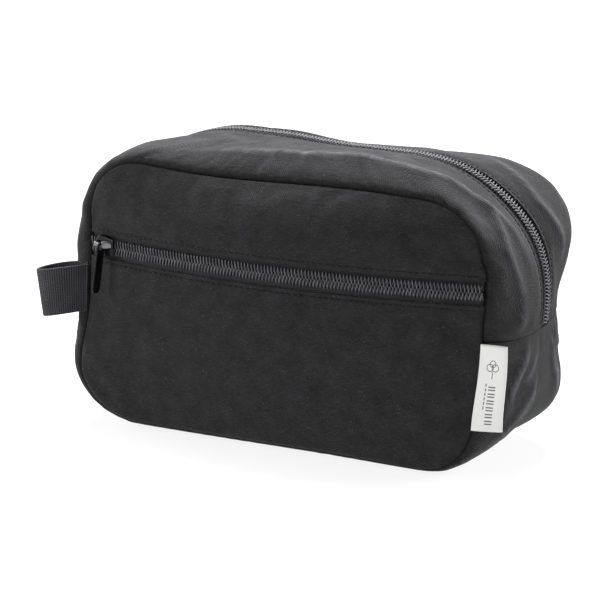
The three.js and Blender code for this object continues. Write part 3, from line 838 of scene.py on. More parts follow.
@dataclass
class Filling:
    """Fills the sewn shell and keeps how far its cloth wrinkles off the drafted faces.

    The shell is one closed cloth of both panels and the gusset, held along its seams, zips and base. The
    cloth is cut slightly larger than its frame and blown up from inside, so that it buckles between them.

    Attributes:
        shape: the drafted faces.
        corner_steps: columns across each corner of a panel.
        middle_steps: columns between the corners.
        rows: rows of a panel.
        gusset_rows: rows across the gusset.
        growth: the share by which the cloth is cut larger.
        pressure: the filling's push.
        frames: how long the cloth settles.
        panel_keep: the share of wrinkle height that is kept on the panels, which are cut taut.
        gusset_keep: the same on the gusset, which is gathered into the seams.
        cap_mm: the most that a wrinkle stands off its face.
    """

    shape: BagShape
    corner_steps: int = 14
    middle_steps: int = 63
    rows: int = 54
    gusset_rows: int = 40
    growth: float = 0.035
    pressure: float = 3.0
    frames: int = 22
    panel_keep: float = 0.35
    gusset_keep: float = 0.4
    cap_mm: float = 3.2

    def __post_init__(self) -> None:
        shape = self.shape
        self.x, self.rise = shape.columns(self.corner_steps, self.middle_steps)
        z = self.rise[:, None] + (shape.height - 2 * self.rise[:, None]) * np.linspace(0, 1, self.rows)
        rim = self.rim(np.stack([np.repeat(self.x[:, None], self.rows, axis=1), z], axis=-1))
        self.places = self.place_of(rim[:, 0], rim[:, 1])
        self.across = np.linspace(0, 1, self.gusset_rows)
        self.lifts = [np.zeros(z.shape), np.zeros(z.shape), np.zeros((len(self.places) + 1, self.gusset_rows))]
        self.fill(z)

    def rim(self, grid: np.ndarray) -> np.ndarray:
        """What a panel's grid holds along its rim, from the middle of the base to the right and round."""
        half = len(self.x) // 2
        return np.concatenate([grid[half:, 0], grid[-1, 1:-1], grid[::-1, -1], grid[0, -2:0:-1], grid[:half, 0]])

    def place_of(self, x: np.ndarray, z: np.ndarray) -> np.ndarray:
        """The places round the outline of points on the rim."""
        shape = self.shape
        inner, corner, top = shape.half_width - shape.corner, shape.corner, shape.height - shape.corner
        out = np.clip(np.abs(x) - inner, 0, corner)
        turn = np.arcsin(np.clip(out / corner, 0, 1)) / (math.pi / 2)
        low = np.where(np.abs(x) <= inner, np.abs(x) / inner, 1 + turn)
        side = np.where(
            z < shape.cross_seam,
            2 + (z - corner) / (shape.cross_seam - corner),
            3 + (z - shape.cross_seam) / (top - shape.cross_seam),
        )
        high = np.where(np.abs(x) <= inner, 5 + (1 - np.abs(x) / inner) / 2, 5 - turn)
        near = np.where(z <= corner, low, np.where(z >= top, high, side))
        return np.where(x < -1e-9, 11 - near, near)

    def fill(self, z: np.ndarray) -> None:
        """Runs the cloth and stores the lifts of both panels and the gusset.

        Args:
            z: the panel grid's heights.
        """
        shape = self.shape
        x = np.repeat(self.x[:, None], self.rows, axis=1)
        faces_of = [shape.front(x, z), shape.back(x, z)]
        seam = shape.seam_depth(self.places)
        depth = seam[:, None] * (1 - 2 * self.across)
        ring = shape.gusset(self.places[:, None], depth)
        count = x.size
        number = np.arange(count).reshape(x.shape)
        inner_rows = self.gusset_rows - 2
        ring_number = np.empty((len(self.places), self.gusset_rows), dtype=int)
        ring_number[:, 0] = self.rim(number)
        ring_number[:, -1] = self.rim(number + count)
        ring_number[:, 1:-1] = 2 * count + np.arange(len(self.places) * inner_rows).reshape(-1, inner_rows)
        points = np.concatenate(
            [faces_of[0].reshape(-1, 3), faces_of[1].reshape(-1, 3), ring[:, 1:-1].reshape(-1, 3)]
        )

        def quads(grid: np.ndarray) -> np.ndarray:
            """Quads between a grid's vertex numbers."""
            return np.stack([grid[:-1, :-1], grid[1:, :-1], grid[1:, 1:], grid[:-1, 1:]], axis=-1).reshape(-1, 4)

        closed = np.vstack([ring_number, ring_number[:1]])
        shell = np.concatenate([quads(number), quads(number + count)[:, ::-1], quads(closed)[:, ::-1]])
        held = self.held_weights(points, ring_number)
        settled = self.settle(points, shell, held)
        for index, grid in enumerate(faces_of):
            normals = grid_normals(grid, shape.centre)
            moved = settled[index * count : (index + 1) * count].reshape(grid.shape) - grid
            self.lifts[index] = self.wrinkles(np.sum(moved * normals, axis=-1), False) * self.panel_keep
        normals = grid_normals(np.concatenate([ring, ring[:1]]), shape.centre)[:-1]
        height = np.sum((settled[ring_number] - ring) * normals, axis=-1)
        lift = self.wrinkles(height, True) * self.gusset_keep
        self.lifts[2] = np.vstack([lift, lift[:1]])
        log.info("filled shell: panels wrinkle up to %.1f mm, gusset up to %.1f mm",
                 np.abs(self.lifts[0]).max() / MM, np.abs(self.lifts[2]).max() / MM)

    def held_weights(self, points: np.ndarray, ring_number: np.ndarray) -> np.ndarray:
        """How firmly each vertex is held: fully at seams, zips and base."""
        shape = self.shape
        held = np.zeros(len(points))
        held[ring_number[:, [0, -1]]] = 1
        side, out, up = np.abs(points[:, 0]), points[:, 1], points[:, 2]
        zip_reach = 10.5 * MM
        held[up < 0.4 * MM] = 1
        held[(np.abs(out) < zip_reach) & (up > shape.cross_seam)] = 1
        held[(np.abs(up - shape.pocket_zip) < zip_reach) & (out < -shape.half_depth - 1 * MM)] = 1
        held[(np.abs(up - shape.cross_seam) < 1.5 * MM) & (side > shape.half_width)] = 1
        return held

    def settle(self, points: np.ndarray, shell: np.ndarray, held: np.ndarray) -> np.ndarray:
        """Lets the cloth settle and reads its points back.

        Args:
            points: the shell's vertices.
            shell: its quads.
            held: how firmly each vertex is held.

        Returns:
            The settled vertices.
        """
        cloth = new_object("shell_to_fill", points, shell)
        group = cloth.vertex_groups.new(name="held")
        group.add(np.flatnonzero(held > 0.5).tolist(), 1.0, "REPLACE")
        modifier = cloth.modifiers.new("filling", "CLOTH")
        settings = modifier.settings
        settings.vertex_group_mass = "held"
        settings.quality = 6
        settings.mass = 0.25
        settings.tension_stiffness = settings.compression_stiffness = 22
        settings.shear_stiffness = 12
        settings.bending_stiffness = 0.6
        settings.shrink_min = -self.growth
        settings.use_pressure = True
        settings.uniform_pressure_force = self.pressure
        settings.effector_weights.gravity = 0
        modifier.collision_settings.use_collision = False
        modifier.point_cache.frame_start, modifier.point_cache.frame_end = 1, self.frames
        scene = bpy.context.scene
        for moment in range(1, self.frames + 1):
            scene.frame_set(moment)
        shaped = cloth.evaluated_get(bpy.context.evaluated_depsgraph_get())
        settled = np.empty(len(points) * 3, dtype=np.float32)
        shaped.data.vertices.foreach_get("co", settled)
        scene.frame_set(1)
        bpy.data.objects.remove(cloth)
        return settled.reshape(-1, 3).astype(float)

    def wrinkles(self, height: np.ndarray, ring: bool) -> np.ndarray:
        """Keeps the wrinkles of a lift and drops most of its broad swelling, which the draft already has."""
        broad = height.copy()
        for _ in range(60):
            for axis in (0, 1):
                wrap = ring and axis == 0
                before, after = np.roll(broad, 1, axis), np.roll(broad, -1, axis)
                if not wrap:
                    first, last = [slice(None)] * 2, [slice(None)] * 2
                    first[axis], last[axis] = slice(0, 1), slice(-1, None)
                    before[tuple(first)], after[tuple(last)] = broad[tuple(first)], broad[tuple(last)]
                broad = (before + 2 * broad + after) / 4
        detail = height - 0.8 * broad
        cap = self.cap_mm * MM
        return cap * np.tanh(detail / cap)

    def panel_lift(self, index: int, x: np.ndarray, z: np.ndarray) -> np.ndarray:
        """The wrinkles' height on the front panel, 0, or the back panel, 1."""
        column = np.interp(x, self.x, np.arange(len(self.x)))
        rise = np.interp(x, self.x, self.rise)
        share = np.clip((z - rise) / (self.shape.height - 2 * rise), 0, 1)
        return sample_grid(self.lifts[index], column, share * (self.rows - 1))

    def gusset_lift(self, place: np.ndarray, depth: np.ndarray) -> np.ndarray:
        """The wrinkles' height on the gusset."""
        order = np.concatenate([self.places, [11.0]])
        seam = self.shape.seam_depth(place)
        across = np.clip((depth - seam) / (-2 * seam), 0, 1)
        along = np.interp(np.mod(place, 11), order, np.arange(len(order)))
        return sample_grid(self.lifts[2], along, across * (self.gusset_rows - 1))


def sample_grid(grid: np.ndarray, row: np.ndarray, column: np.ndarray) -> np.ndarray:
    """Samples a grid between its points.

    Args:
        grid: rows by columns.
        row: fractional row numbers.
        column: fractional column numbers.

    Returns:
        The samples, in the shape of row.
    """
    low_row = np.clip(np.floor(row).astype(int), 0, grid.shape[0] - 2)
    low_column = np.clip(np.floor(column).astype(int), 0, grid.shape[1] - 2)
    over, along = row - low_row, column - low_column
    near = grid[low_row, low_column] * (1 - over) + grid[low_row + 1, low_column] * over
    far = grid[low_row, low_column + 1] * (1 - over) + grid[low_row + 1, low_column + 1] * over
    return near * (1 - along) + far * along


SEAM_ROLL_MM = 2.0
FOLD_ROLL_MM = 0.8
CLOTH_MM = 1.1
STITCH_SINK_MM = 0.22
# How deep a wrinkle may sink before it would meet the lining.
DEEPEST_MM = 1.7


def rolled(distance: np.ndarray, radius_mm: float) -> np.ndarray:
    """How far a rolled edge drops below the cloth's face, at a distance from the edge."""
    radius = radius_mm * MM
    share = np.clip(1 - distance / radius, 0, 1)
    return -radius * (1 - np.sqrt(1 - share**2))


def stitch_dimple(distance: np.ndarray, row_mm: float) -> np.ndarray:
    """The shallow channel that a row of stitches pulls into the cloth."""
    return -STITCH_SINK_MM * MM * np.exp(-(((distance - row_mm * MM) / (0.7 * MM)) ** 2))


@dataclass
class CanvasShell:
    """Panels and gussets: the cloth pieces that make the bag's outside."""

    shape: BagShape
    filling: Filling
    wardrobe: Wardrobe
    slot_low_mm: float = 6.6
    slot_high_mm: float = 5.6
    main_slot_mm: float = 6.6
    stitch_row_mm: float = 2.6
    stitch_mm: float = 2.6
    stitch_pitch_mm: float = 3.3
    thread_mm: float = 0.42

    def seam_distance(self, x: np.ndarray, z: np.ndarray) -> np.ndarray:
        """Distance from a point of a panel to its seam."""
        radius = self.shape.corner
        out_x = np.abs(x) - (self.shape.half_width - radius)
        out_z = np.abs(z - self.shape.height / 2) - (self.shape.height / 2 - radius)
        outside = np.hypot(np.maximum(out_x, 0), np.maximum(out_z, 0))
        return radius - outside - np.minimum(np.maximum(out_x, out_z), 0)

    def panel(
        self,
        name: str,
        face: Callable[[np.ndarray, np.ndarray], np.ndarray],
        low: float | None,
        high: float | None,
    ) -> bpy.types.Object:
        """Builds a panel between two heights, or to its seams where none is given.

        Args:
            name: the piece's name, also that of the node it replaces.
            face: the panel's outer face.
            low: the lower folded edge.
            high: the upper folded edge.

        Returns:
            The new piece.
        """
        x, rise = self.shape.columns(24, 73)
        bottom = rise if low is None else np.full_like(x, low)
        top = self.shape.height - rise if high is None else np.full_like(x, high)
        share = graded(75 if (low is None or high is None) else 40, 2.2)
        grid_x = np.repeat(x[:, None], len(share), axis=1)
        grid_z = bottom[:, None] + (top - bottom)[:, None] * share
        base = face(grid_x, grid_z)
        normals = grid_normals(base, self.shape.centre)
        seam = self.seam_distance(grid_x, grid_z)
        corner_way = np.arctan2(grid_z - self.shape.height / 2, grid_x) * 90
        pucker = self.shape.ripples((corner_way + grid_x / MM * 0.6), 0.7 if face == self.shape.front else 2.1)
        near_seam = np.exp(-seam / (8 * MM)) * smoothstep(0, 3.5 * MM, seam)
        fold_distance = np.full_like(grid_z, 1.0)
        for edge in (low, high):
            if edge is not None:
                fold_distance = np.minimum(fold_distance, np.abs(grid_z - edge))
        lift = pucker * near_seam * 0.32 * MM * smoothstep(0, 6 * MM, fold_distance)
        lift += rolled(fold_distance, FOLD_ROLL_MM) + stitch_dimple(fold_distance, self.stitch_row_mm)
        lift += self.filling.panel_lift(0 if face == self.shape.front else 1, grid_x, grid_z) * smoothstep(
            0, 4 * MM, seam
        )
        lift = np.maximum(lift, -DEEPEST_MM * MM) + rolled(seam, SEAM_ROLL_MM)
        outer = base + normals * lift[..., None]
        inner = outer - normals * CLOTH_MM * MM
        uv = np.stack([grid_x, grid_z], axis=-1)
        # Painted shade: the cloth is painted darker within about a millimetre of each seam.
        piece = slab_mesh(name + "_cloth", outer, inner, uv, wear=-np.exp(-seam / (0.6 * MM)))
        self.wardrobe.dress(piece, "canvas", "bag", [name])
        return piece

    def strip(
        self, name: str, places: np.ndarray, start: Callable, end: Callable, fold_at_end: bool, seed: float
    ) -> bpy.types.Object:
        """Builds a strip of gusset from one depth to another.

        Args:
            name: the node that it replaces.
            places: places round the outline.
            start: depth of the sewn edge at each place.
            end: depth of the other edge at each place.
            fold_at_end: whether that edge is folded for a zip; it is sewn otherwise.
            seed: varies the puckers.

        Returns:
            The new piece.
        """
        first, last = start(places), end(places)
        share = graded(float(np.mean(np.abs(last - first))) / MM, 2.0)
        depth = first[:, None] + (last - first)[:, None] * share
        grid_place = np.repeat(places[:, None], len(share), axis=1)
        base = self.shape.gusset(grid_place, depth)
        normals = grid_normals(base, self.shape.centre)
        from_start = np.abs(depth - first[:, None])
        from_end = np.abs(depth - last[:, None])
        seam = from_start if fold_at_end else np.minimum(from_start, from_end)
        way = np.cumsum(np.linalg.norm(np.diff(base[:, 0], axis=0, prepend=base[:1, 0]), axis=1)) / MM
        pucker = self.shape.ripples(way[:, None] + 0.25 * from_start / MM, seed)
        calm = self.shape.calm(base) * smoothstep(0, 0.01, base[..., 2])
        lift = pucker * np.exp(-seam / (9 * MM)) * smoothstep(0, 3.5 * MM, seam) * 0.4 * MM * calm
        creased, rubbed = self.shape.creased(base)
        lift += creased * smoothstep(0, 5 * MM, seam)
        off_zip = smoothstep(9.5 * MM, 20 * MM, np.abs(depth)) if fold_at_end else 1.0
        lift += self.shape.seam_roll(grid_place, depth) * off_zip * smoothstep(0, 0.004, base[..., 2])
        off_floor = smoothstep(2 * MM, 14 * MM, base[..., 2])
        lift += self.filling.gusset_lift(grid_place, depth) * smoothstep(0, 4 * MM, seam) * off_floor
        if fold_at_end:
            lift += rolled(from_end, FOLD_ROLL_MM) + stitch_dimple(from_end, self.stitch_row_mm)
        cross = np.minimum(np.arange(len(places)), np.arange(len(places))[::-1])[:, None]
        ends = np.array([0.0, 0.35, 0.8, 1.4, 9.0])[np.minimum(cross, 4)] * MM
        lift = np.maximum(lift, -DEEPEST_MM * MM) + rolled(seam, SEAM_ROLL_MM) + rolled(ends, 1.3)
        # Painted shade: darker where the strip meets a cross seam.
        cross_seam_painted_shade = np.exp(-ends / (0.7 * MM))
        outer = base + normals * lift[..., None]
        outer[..., 2] = np.maximum(outer[..., 2], 0)
        inner = outer - normals * CLOTH_MM * MM
        uv = np.stack([np.repeat(way[:, None] * MM, len(share), axis=1), depth], axis=-1)
        # Painted highlight along fold crests, partly rubbed wear, and painted shade at the seams and cross seams.
        piece = slab_mesh(name + "_cloth", outer, inner, uv, wear=rubbed - np.exp(-seam / (0.6 * MM)) - cross_seam_painted_shade)
        self.wardrobe.dress(piece, "canvas", "bag", [name])
        return piece

    def places(self, first: float, last: float) -> np.ndarray:
        """Places between two cross seams, close together next to them."""
        per_stretch = {0: 40, 1: 30, 2: 14, 3: 14, 4: 46, 5: 62, 6: 46, 7: 14, 8: 14, 9: 30, 10: 40}
        parts = [
            np.linspace(whole, whole + 1, per_stretch[whole % 11], endpoint=False)
            for whole in range(int(first), int(last))
        ]
        listed = np.concatenate([*parts, [last]])
        edge = np.array([0.004, 0.012, 0.024])
        inner = listed[(listed > first + 0.04) & (listed < last - 0.04)]
        return np.concatenate([[first], first + edge, inner, last - edge[::-1], [last]])

    def stitches(self, name: str, route: np.ndarray, normals: np.ndarray) -> None:
        """Lays a row of stitches along a route on the cloth.

        Args:
            name: the row's name.
            route: closely spaced points on the cloth's face.
            normals: the cloth's normals there.
        """
        way = way_along(route) / MM
        starts = np.arange(2.0, way[-1] - self.stitch_mm - 1.0, self.stitch_pitch_mm)
        shares = np.array([0.0, 0.1, 0.35, 0.65, 0.9, 1.0])
        heights = np.array([-0.45, -0.05, 0.12, 0.12, -0.05, -0.45]) * MM
        spots = starts[:, None] + shares * self.stitch_mm

        def sample(values: np.ndarray) -> np.ndarray:
            """Interpolates the route's values at the stitches' points."""
            return np.stack([np.interp(spots, way, values[:, axis]) for axis in range(3)], axis=-1)

        lines = sample(route) + unit(sample(normals)) * heights[:, None]
        radii = np.array([0.75, 1.0, 1.0, 1.0, 1.0, 0.75]) * self.thread_mm / 2 * MM
        self.wardrobe.dress(tube_mesh(name, lines, radii, 6), "thread", "bag")

    def zip_rows(self) -> None:
        """Sews the topstitching beside both zips."""
        x = np.linspace(-self.shape.half_width + 2 * MM, self.shape.half_width - 2 * MM, 500)
        for name, height in (
            ("pocket_stitches_lower", self.shape.pocket_zip - (self.slot_low_mm + self.stitch_row_mm) * MM),
            ("pocket_stitches_upper", self.shape.pocket_zip + (self.slot_high_mm + self.stitch_row_mm) * MM),
        ):
            band = self.shape.front(x[:, None], np.array([[height - MM, height, height + MM]]))
            normals = grid_normals(band, self.shape.centre)[:, 1]
            self.stitches(name, band[:, 1] - normals * STITCH_SINK_MM * MM, normals)
        places = np.linspace(3.03, 7.97, 1400)
        for name, side in (("main_stitches_front", -1), ("main_stitches_rear", 1)):
            depth = side * (self.main_slot_mm + self.stitch_row_mm) * MM
            band = self.shape.gusset(places[:, None], np.array([[depth - MM, depth, depth + MM]]))
            normals = grid_normals(band, self.shape.centre)[:, 1]
            self.stitches(name, band[:, 1] - normals * STITCH_SINK_MM * MM, normals)

    def build(self) -> None:
        """Builds every canvas piece and its topstitching."""
        shape = self.shape
        slot_low = shape.pocket_zip - self.slot_low_mm * MM
        slot_high = shape.pocket_zip + self.slot_high_mm * MM
        self.panel("front_lower_panel", shape.front, None, slot_low)
        self.panel("front_upper_panel", shape.front, slot_high, None)
        self.panel("back_panel", shape.back, None, None)
        slot, front_seam = self.main_slot_mm * MM, shape.seam_depth
        top_places = self.places(3, 8)
        self.strip("zip_gusset_front", top_places, front_seam, lambda p: np.full_like(p, -slot), True, 0.4)
        self.strip("zip_gusset_rear", top_places, lambda p: -front_seam(p), lambda p: np.full_like(p, slot), True, 1.9)
        self.strip("bottom_gusset", self.places(8, 14), front_seam, lambda p: -front_seam(p), False, 3.3)
        self.zip_rows()


@dataclass
class Linings:
    """The inner cloth: pocket wall, linings and seam bindings, set off from the same faces."""

    shape: BagShape
    wardrobe: Wardrobe

    def offset_slab(self, node: str, face: np.ndarray, depth_mm: float, thick_mm: float, finish: str) -> None:
        """Makes an inner piece that follows a face at a depth below it.

        Args:
            node: the node it replaces.
            face: a grid of points of the outer face.
            depth_mm: how deep the piece lies.
            thick_mm: its thickness.
            finish: its finish.
        """
        normals = grid_normals(face, self.shape.centre)
        way = np.cumsum(np.linalg.norm(np.diff(face, axis=0, prepend=face[:1]), axis=-1), axis=0)
        across = np.cumsum(np.linalg.norm(np.diff(face, axis=1, prepend=face[:, :1]), axis=-1), axis=1)
        piece = slab_mesh(
            node + "_cloth",
            face - normals * depth_mm * MM,
            face - normals * (depth_mm + thick_mm) * MM,
            np.stack([way, across], axis=-1),
        )
        self.wardrobe.dress(piece, finish, "bag", [node])

    def build(self) -> None:
        """Builds all the inner cloth."""
        shape = self.shape
        inset = 3.6 * MM
        x, rise = shape.columns(12, 37, inset)
        x, low = x[:, None], (inset + rise)[:, None]
        z = low + (shape.height - 2 * low) * np.linspace(0, 1, 25)
        self.offset_slab("back_lining", shape.back(x, z), 4.0, 0.5, "lining")
        wall = shape.front(x, z)
        settled = -shape.half_depth + 4.9 * MM - shape.plan_arc(x) * 0.22
        wall[..., 1] = np.maximum(wall[..., 1] + 3 * MM, settled)
        self.offset_slab("pocket_inner_wall", wall, 0.0, 0.6, "lining")
        edge = 9.6 * MM
        top_places = np.linspace(3.02, 7.98, 120)[:, None]
        for node, side in (("zip_gusset_lining_front", 1), ("zip_gusset_lining_rear", -1)):
            seam = shape.seam_depth(top_places) * side
            depth = seam + side * edge + (-side * 8.6 * MM - seam - side * edge) * np.linspace(0, 1, 12)
            self.offset_slab(node, shape.gusset(top_places, depth), 3.0, 0.5, "lining")
        base_places = np.linspace(8.02, 13.98, 120)[:, None]
        seam = shape.seam_depth(base_places)
        depth = (seam + edge) * np.linspace(1, -1, 24)
        self.offset_slab("bottom_lining", shape.gusset(base_places, depth), 3.0, 0.5, "lining")
        for node, side in (("cross_seam_binding_right", 1), ("cross_seam_binding_left", -1)):
            places = 2.78 + 0.17 * np.linspace(0, 1, 5)
            places = places if side > 0 else 11 - places
            depth = np.linspace(-38 * MM, 38 * MM, 30)
            self.offset_slab(node, shape.gusset(places[:, None], depth[None, :]), 3.7, 1.1, "tape")
        ring_places = np.linspace(0, 11, 241)[:-1]
        for node, side in (("seam_binding_front", 1), ("seam_binding_back", -1)):
            x, z = shape.outline(ring_places, np.zeros_like(ring_places))
            rim = np.stack([x, side * (shape.seam_depth(ring_places)), z], axis=-1)
            rim = shape.pushed(rim)
            inward = unit((shape.centre - rim) * np.array([1, 0, 1]))
            back = np.array([0, side, 0])
            layers = []
            for set_back in (6.9, 8.5):
                layers.append(
                    np.stack([rim + inward * d * MM + back * set_back * MM for d in (3.4, 6.0, 9.0)], axis=1)
                )
            uv = np.stack([np.repeat(np.arange(240)[:, None] * 2.9 * MM, 3, 1),
                           np.repeat([[0, 2.6 * MM, 5.6 * MM]], 240, 0)], axis=-1)
            piece = slab_mesh(node + "_tape", layers[0], layers[1], uv, ring=True)
            self.wardrobe.dress(piece, "tape", "bag", [node])


# ---- zips -----------------------------------------------------------------------------------------
@dataclass
class Zip:
    """A nylon coil zip: two tapes, two coils, a slider and its pull tab.

    Attributes:
        name: start of the pieces' names.
        route: the zip's centre line on the canvas's face, closely spaced.
        outward: the canvas's normals along it.
        across: unit vectors across the zip, towards its first side.
        sides: names of the two sides, the first being where across points.
    """

    name: str
    route: np.ndarray
    outward: np.ndarray
    across: np.ndarray
    sides: tuple[str, str]
    wardrobe: Wardrobe
    pitch_mm: float = 1.85
    wire_mm: float = 0.74
    tape_half_mm: float = 13.0
    tape_depth_mm: float = 1.75
    tape_mm: float = 0.5

    def __post_init__(self) -> None:
        """Measures the route."""
        self.way = way_along(self.route) / MM

    def at(self, values: np.ndarray, spots_mm: np.ndarray) -> np.ndarray:
        """Interpolates values of the route at distances along it."""
        return np.stack([np.interp(spots_mm, self.way, values[:, axis]) for axis in range(3)], axis=-1)

    def tape(self, side: int) -> None:
        """Builds one side's woven tape."""
        reach = np.array([0.4, 1.5, 3.0, 4.0, 4.4, 5.0, 6.0, 8.0, 10.5, self.tape_half_mm]) * side
        rise = np.array([0, 0, 0, 0, 0.1, 0.2, 0.1, 0, 0, 0])
        spots = np.arange(0, self.way[-1], 1.5)
        spots = np.append(spots, self.way[-1])
        middle, up, over = (self.at(v, spots) for v in (self.route, self.outward, self.across))
        sag = (reach / 40) ** 2 * 1.2
        face = middle[:, None] + over[:, None] * (reach * MM)[:, None]
        top = face + up[:, None] * ((rise - self.tape_depth_mm - sag) * MM)[:, None]
        bottom = face - up[:, None] * ((self.tape_depth_mm + self.tape_mm + sag) * MM)[:, None]
        uv = np.stack(np.broadcast_arrays(spots[:, None] * MM, reach * MM), axis=-1)
        word = self.sides[side < 0]
        piece = slab_mesh(f"{self.name}_tape_{word}_woven", top, bottom, uv)
        self.wardrobe.dress(piece, "tape", "bag", [f"{self.name}_tape_{word}"])

    def coil(self, side: int) -> None:
        """Builds one side's coil: a loop of filament for every tooth, its head reaching over the middle."""
        first = 0.9 if side > 0 else 0.9 + self.pitch_mm / 2
        starts = np.arange(first, self.way[-1] - 1.2, self.pitch_mm)
        # Along the zip, across it and out of the cloth, in mm, for one loop.
        loop = np.array(
            [
                (-0.50, 3.95, -0.95),
                (-0.44, 4.05, -0.25),
                (-0.34, 3.45, 0.30),
                (-0.14, 2.40, 0.40),
                (0.10, 1.30, 0.40),
                (0.26, 0.35, 0.34),
                (0.34, -0.20, -0.02),
                (0.42, 0.10, -0.50),
                (0.56, 1.30, -0.72),
                (0.80, 2.60, -0.80),
                (1.05, 3.70, -0.92),
            ]
        )
        spots = starts[:, None] + loop[None, :, 0]
        middle, up, over = (self.at(v, spots) for v in (self.route, self.outward, self.across))
        lines = middle + over * (side * loop[:, 1:2] * MM) + up * (loop[:, 2:3] * MM)
        radii = np.array([0.85, 0.95, 1.0, 1.0, 1.05, 1.3, 1.35, 1.1, 0.95, 0.9, 0.85]) * self.wire_mm / 2 * MM
        word = self.sides[side < 0]
        piece = tube_mesh(f"{self.name}_coil_{word}_loops", lines, radii, 6)
        self.wardrobe.dress(piece, "coil", "bag", [f"{self.name}_coil_{word}"])

    def build(self) -> None:
        """Builds both tapes and both coils."""
        for side in (1, -1):
            self.tape(side)
            self.coil(side)


def bevelled(obj: bpy.types.Object, width_mm: float) -> bpy.types.Object:
    """Rounds a piece's edges and keeps the result in its mesh."""
    mesh = bmesh.new()
    mesh.from_mesh(obj.data)
    bmesh.ops.recalc_face_normals(mesh, faces=mesh.faces)
    sharp = [edge for edge in mesh.edges if len(edge.link_faces) == 2 and edge.calc_face_angle() > 0.6]
    bmesh.ops.bevel(
        mesh, geom=sharp, offset=width_mm * MM, segments=3, profile=0.5, affect="EDGES", clamp_overlap=True
    )
    for face in mesh.faces:
        face.smooth = True
    mesh.to_mesh(obj.data)
    mesh.free()
    return obj


def prism(name: str, outline: Sequence[tuple[float, float]], low: float, high: float) -> bpy.types.Object:
    """Stands a flat outline up between two heights, all in mm, as one closed mesh in metres."""
    count = len(outline)
    points = [(x * MM, y * MM, z * MM) for z in (low, high) for x, y in outline]
    faces = [list(range(count))[::-1], list(range(count, 2 * count))]
    faces += [[n, (n + 1) % count, count + (n + 1) % count, count + n] for n in range(count)]
    return new_object(name, points, faces)


def joined(name: str, parts: Sequence[bpy.types.Object]) -> bpy.types.Object:
    """Puts several meshes into one object and removes the rest."""
    mesh = bmesh.new()
    for part in parts:
        mesh.from_mesh(part.data)
        bpy.data.objects.remove(part)
    data = bpy.data.meshes.new(name)
    mesh.to_mesh(data)
    mesh.free()
    return placed(name, data)


